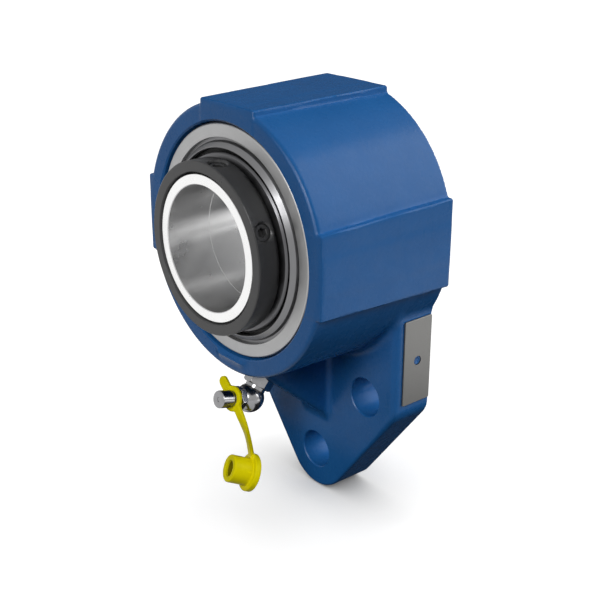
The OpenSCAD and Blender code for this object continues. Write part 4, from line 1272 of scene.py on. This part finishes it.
lit = node(tree, "ShaderNodeEmission", Color=(1, 1, 1, 1), Strength=glow)
both = node(tree, "ShaderNodeAddShader", i0=pale.outputs[0], i1=lit.outputs[0])
clear = node(tree, "ShaderNodeBsdfTransparent")
sides = node(tree, "ShaderNodeMixShader", i0=node(tree, "ShaderNodeNewGeometry").outputs["Backfacing"],
             i1=both.outputs[0], i2=clear.outputs[0])
node(tree, "ShaderNodeOutputMaterial", Surface=sides.outputs[0])
floor = piece("floor", floor_points[[1, 3, 7, 5]], [(0, 3, 2, 1)], floor_material, None)
print("floor: at", FLOOR_Z, "mm")

# %% [markdown]
# ## World
#
# The world sends a weak grey light from everywhere. The camera, reflections and
# light that passes through see it as plain white instead, so that the
# background is white and metals have something bright to show.

# %% World
world = bpy.data.worlds.new("world")
bpy.context.scene.world = world
world.use_nodes = True
tree = world.node_tree
tree.nodes.clear()
path = node(tree, "ShaderNodeLightPath")
seen = maths(tree, "MAXIMUM", path.outputs["Is Camera Ray"],
             maths(tree, "MAXIMUM", path.outputs["Is Glossy Ray"], path.outputs["Is Transmission Ray"]))
SKY = 0.09
strength = maths(tree, "ADD", SKY, maths(tree, "MULTIPLY", seen, 1 - SKY))
sky = node(tree, "ShaderNodeBackground", Color=(1, 1, 1, 1), Strength=strength)
node(tree, "ShaderNodeOutputWorld", Surface=sky.outputs[0])
print("world: light", SKY, "and background 1")

# %% [markdown]
# ## Lamps
#
# A soft sun from behind on the right draws the sheen on the barrel, and one
# from the front fills the faces that look that way. Light linking keeps both
# off the floor, and off the inner ring, whose bore takes its light from what it
# reflects. A third, very broad sun lights the floor alone, and gives the object
# its soft shadow there.

# %% Lamps
def sun(name, towards, strength, spread_degrees):
    """A broad, even light from far away, given by the direction to it."""
    data = bpy.data.lights.new(name, "SUN")
    data.energy = strength
    data.angle = math.radians(spread_degrees)
    lamp = bpy.data.objects.new(name, data)
    bpy.context.scene.collection.objects.link(lamp)
    lamp.rotation_euler = Vector(towards).to_track_quat("Z", "Y").to_euler()
    return lamp


lamps = [sun("rear_sun", (0.48, 0.72, 0.47), 2.2, 50), sun("front_sun", (0.40, -0.72, 0.55), 1.8, 25)]
overhead = sun("overhead_sun", (0.1, -0.1, 1.0), 3.3, 125)
floor_only = bpy.data.collections.new("floor_only")
floor_only.objects.link(floor)
overhead.light_linking.receiver_collection = floor_only
left_out = bpy.data.collections.new("left_out")
for receiver in (floor, sleeve):
    left_out.objects.link(receiver)
for member in left_out.collection_objects:
    member.light_linking.link_state = "EXCLUDE"
for lamp in lamps:
    lamp.light_linking.receiver_collection = left_out
print("suns:", [round(lamp.data.energy, 2) for lamp in (*lamps, overhead)])

# %% [markdown]
# Photographers set strip lights where an edge or a bore should shine. These two
# are seen in highlights alone, and each is linked to the piece it is for: one
# to the casting's front edges, one to the bore.

# %% Softboxes
def softbox(name, place_mm, size_mm, level, receivers):
    """A lamp that only draws highlights, and only on the pieces named."""
    data = bpy.data.lights.new(name, "AREA")
    data.shape = "RECTANGLE"
    data.size, data.size_y = (s * MM for s in size_mm)
    data.energy = level * math.pi * data.size * data.size_y
    data.use_shadow = False
    lamp = bpy.data.objects.new(name, data)
    bpy.context.scene.collection.objects.link(lamp)
    lamp.location = Vector(place_mm) * MM
    lamp.rotation_euler = lamp.location.to_track_quat("Z", "Y").to_euler()
    lamp.visible_diffuse = lamp.visible_camera = False
    lit_pieces = bpy.data.collections.new(name + "_pieces")
    for receiver in receivers:
        lit_pieces.objects.link(receiver)
    lamp.light_linking.receiver_collection = lit_pieces


softbox("edge_softbox", (330, -960, 330), (1300, 900), 6.0, [housing])
softbox("bore_softbox", (745, 602, -285), (900, 400), 4.5, [sleeve])
print("softboxes: two, seen in highlights only")

# %% [markdown]
# Enamel and steel also show the floor and the room in their reflections. Dark
# cards take that white away where the photograph shows none, and a bright one
# on the floor, behind on the right, shows in the bore. Only reflections see
# them.

# %% Cards
def card(name, place_mm, size_mm, level, aim_mm=(0, 0, 0)):
    """A card of one grey level, which only reflections see."""
    material, tree, shader = finish(name, (0.01, 0.01, 0.01), 1.0)
    shader.inputs["Emission Color"].default_value = (1, 1, 1, 1)
    shader.inputs["Emission Strength"].default_value = level
    points, faces = block((-size_mm[0] / 2, -size_mm[1] / 2, -1), (size_mm[0] / 2, size_mm[1] / 2, 0))
    made = piece(name, points, faces, material, None)
    made.location = Vector(place_mm) * MM
    made.rotation_euler = (Vector(aim_mm) * MM - made.location).to_track_quat("Z", "Y").to_euler()
    made.visible_camera = made.visible_diffuse = made.visible_shadow = False
    made.visible_transmission = made.visible_volume_scatter = False


card("rear_card", (-1500, 1250, 900), (2600, 2400), 0.08)
card("low_card", (-155, 267, FLOOR_Z + 1), (490, 526), 0.01, (-155, 267, 0))
card("left_card", (-280, -28, FLOOR_Z + 1), (350, 64), 0.01, (-280, -28, 0))
card("bright_card", (235, 195, FLOOR_Z + 1), (230, 170), 2.6, (235, 195, 0))
print("cards: four, seen in reflections only")

# %% [markdown]
# ## Last update
#
# The view layer is updated, so that every piece stands where it was put.

# %% Finish
bpy.context.view_layer.update()
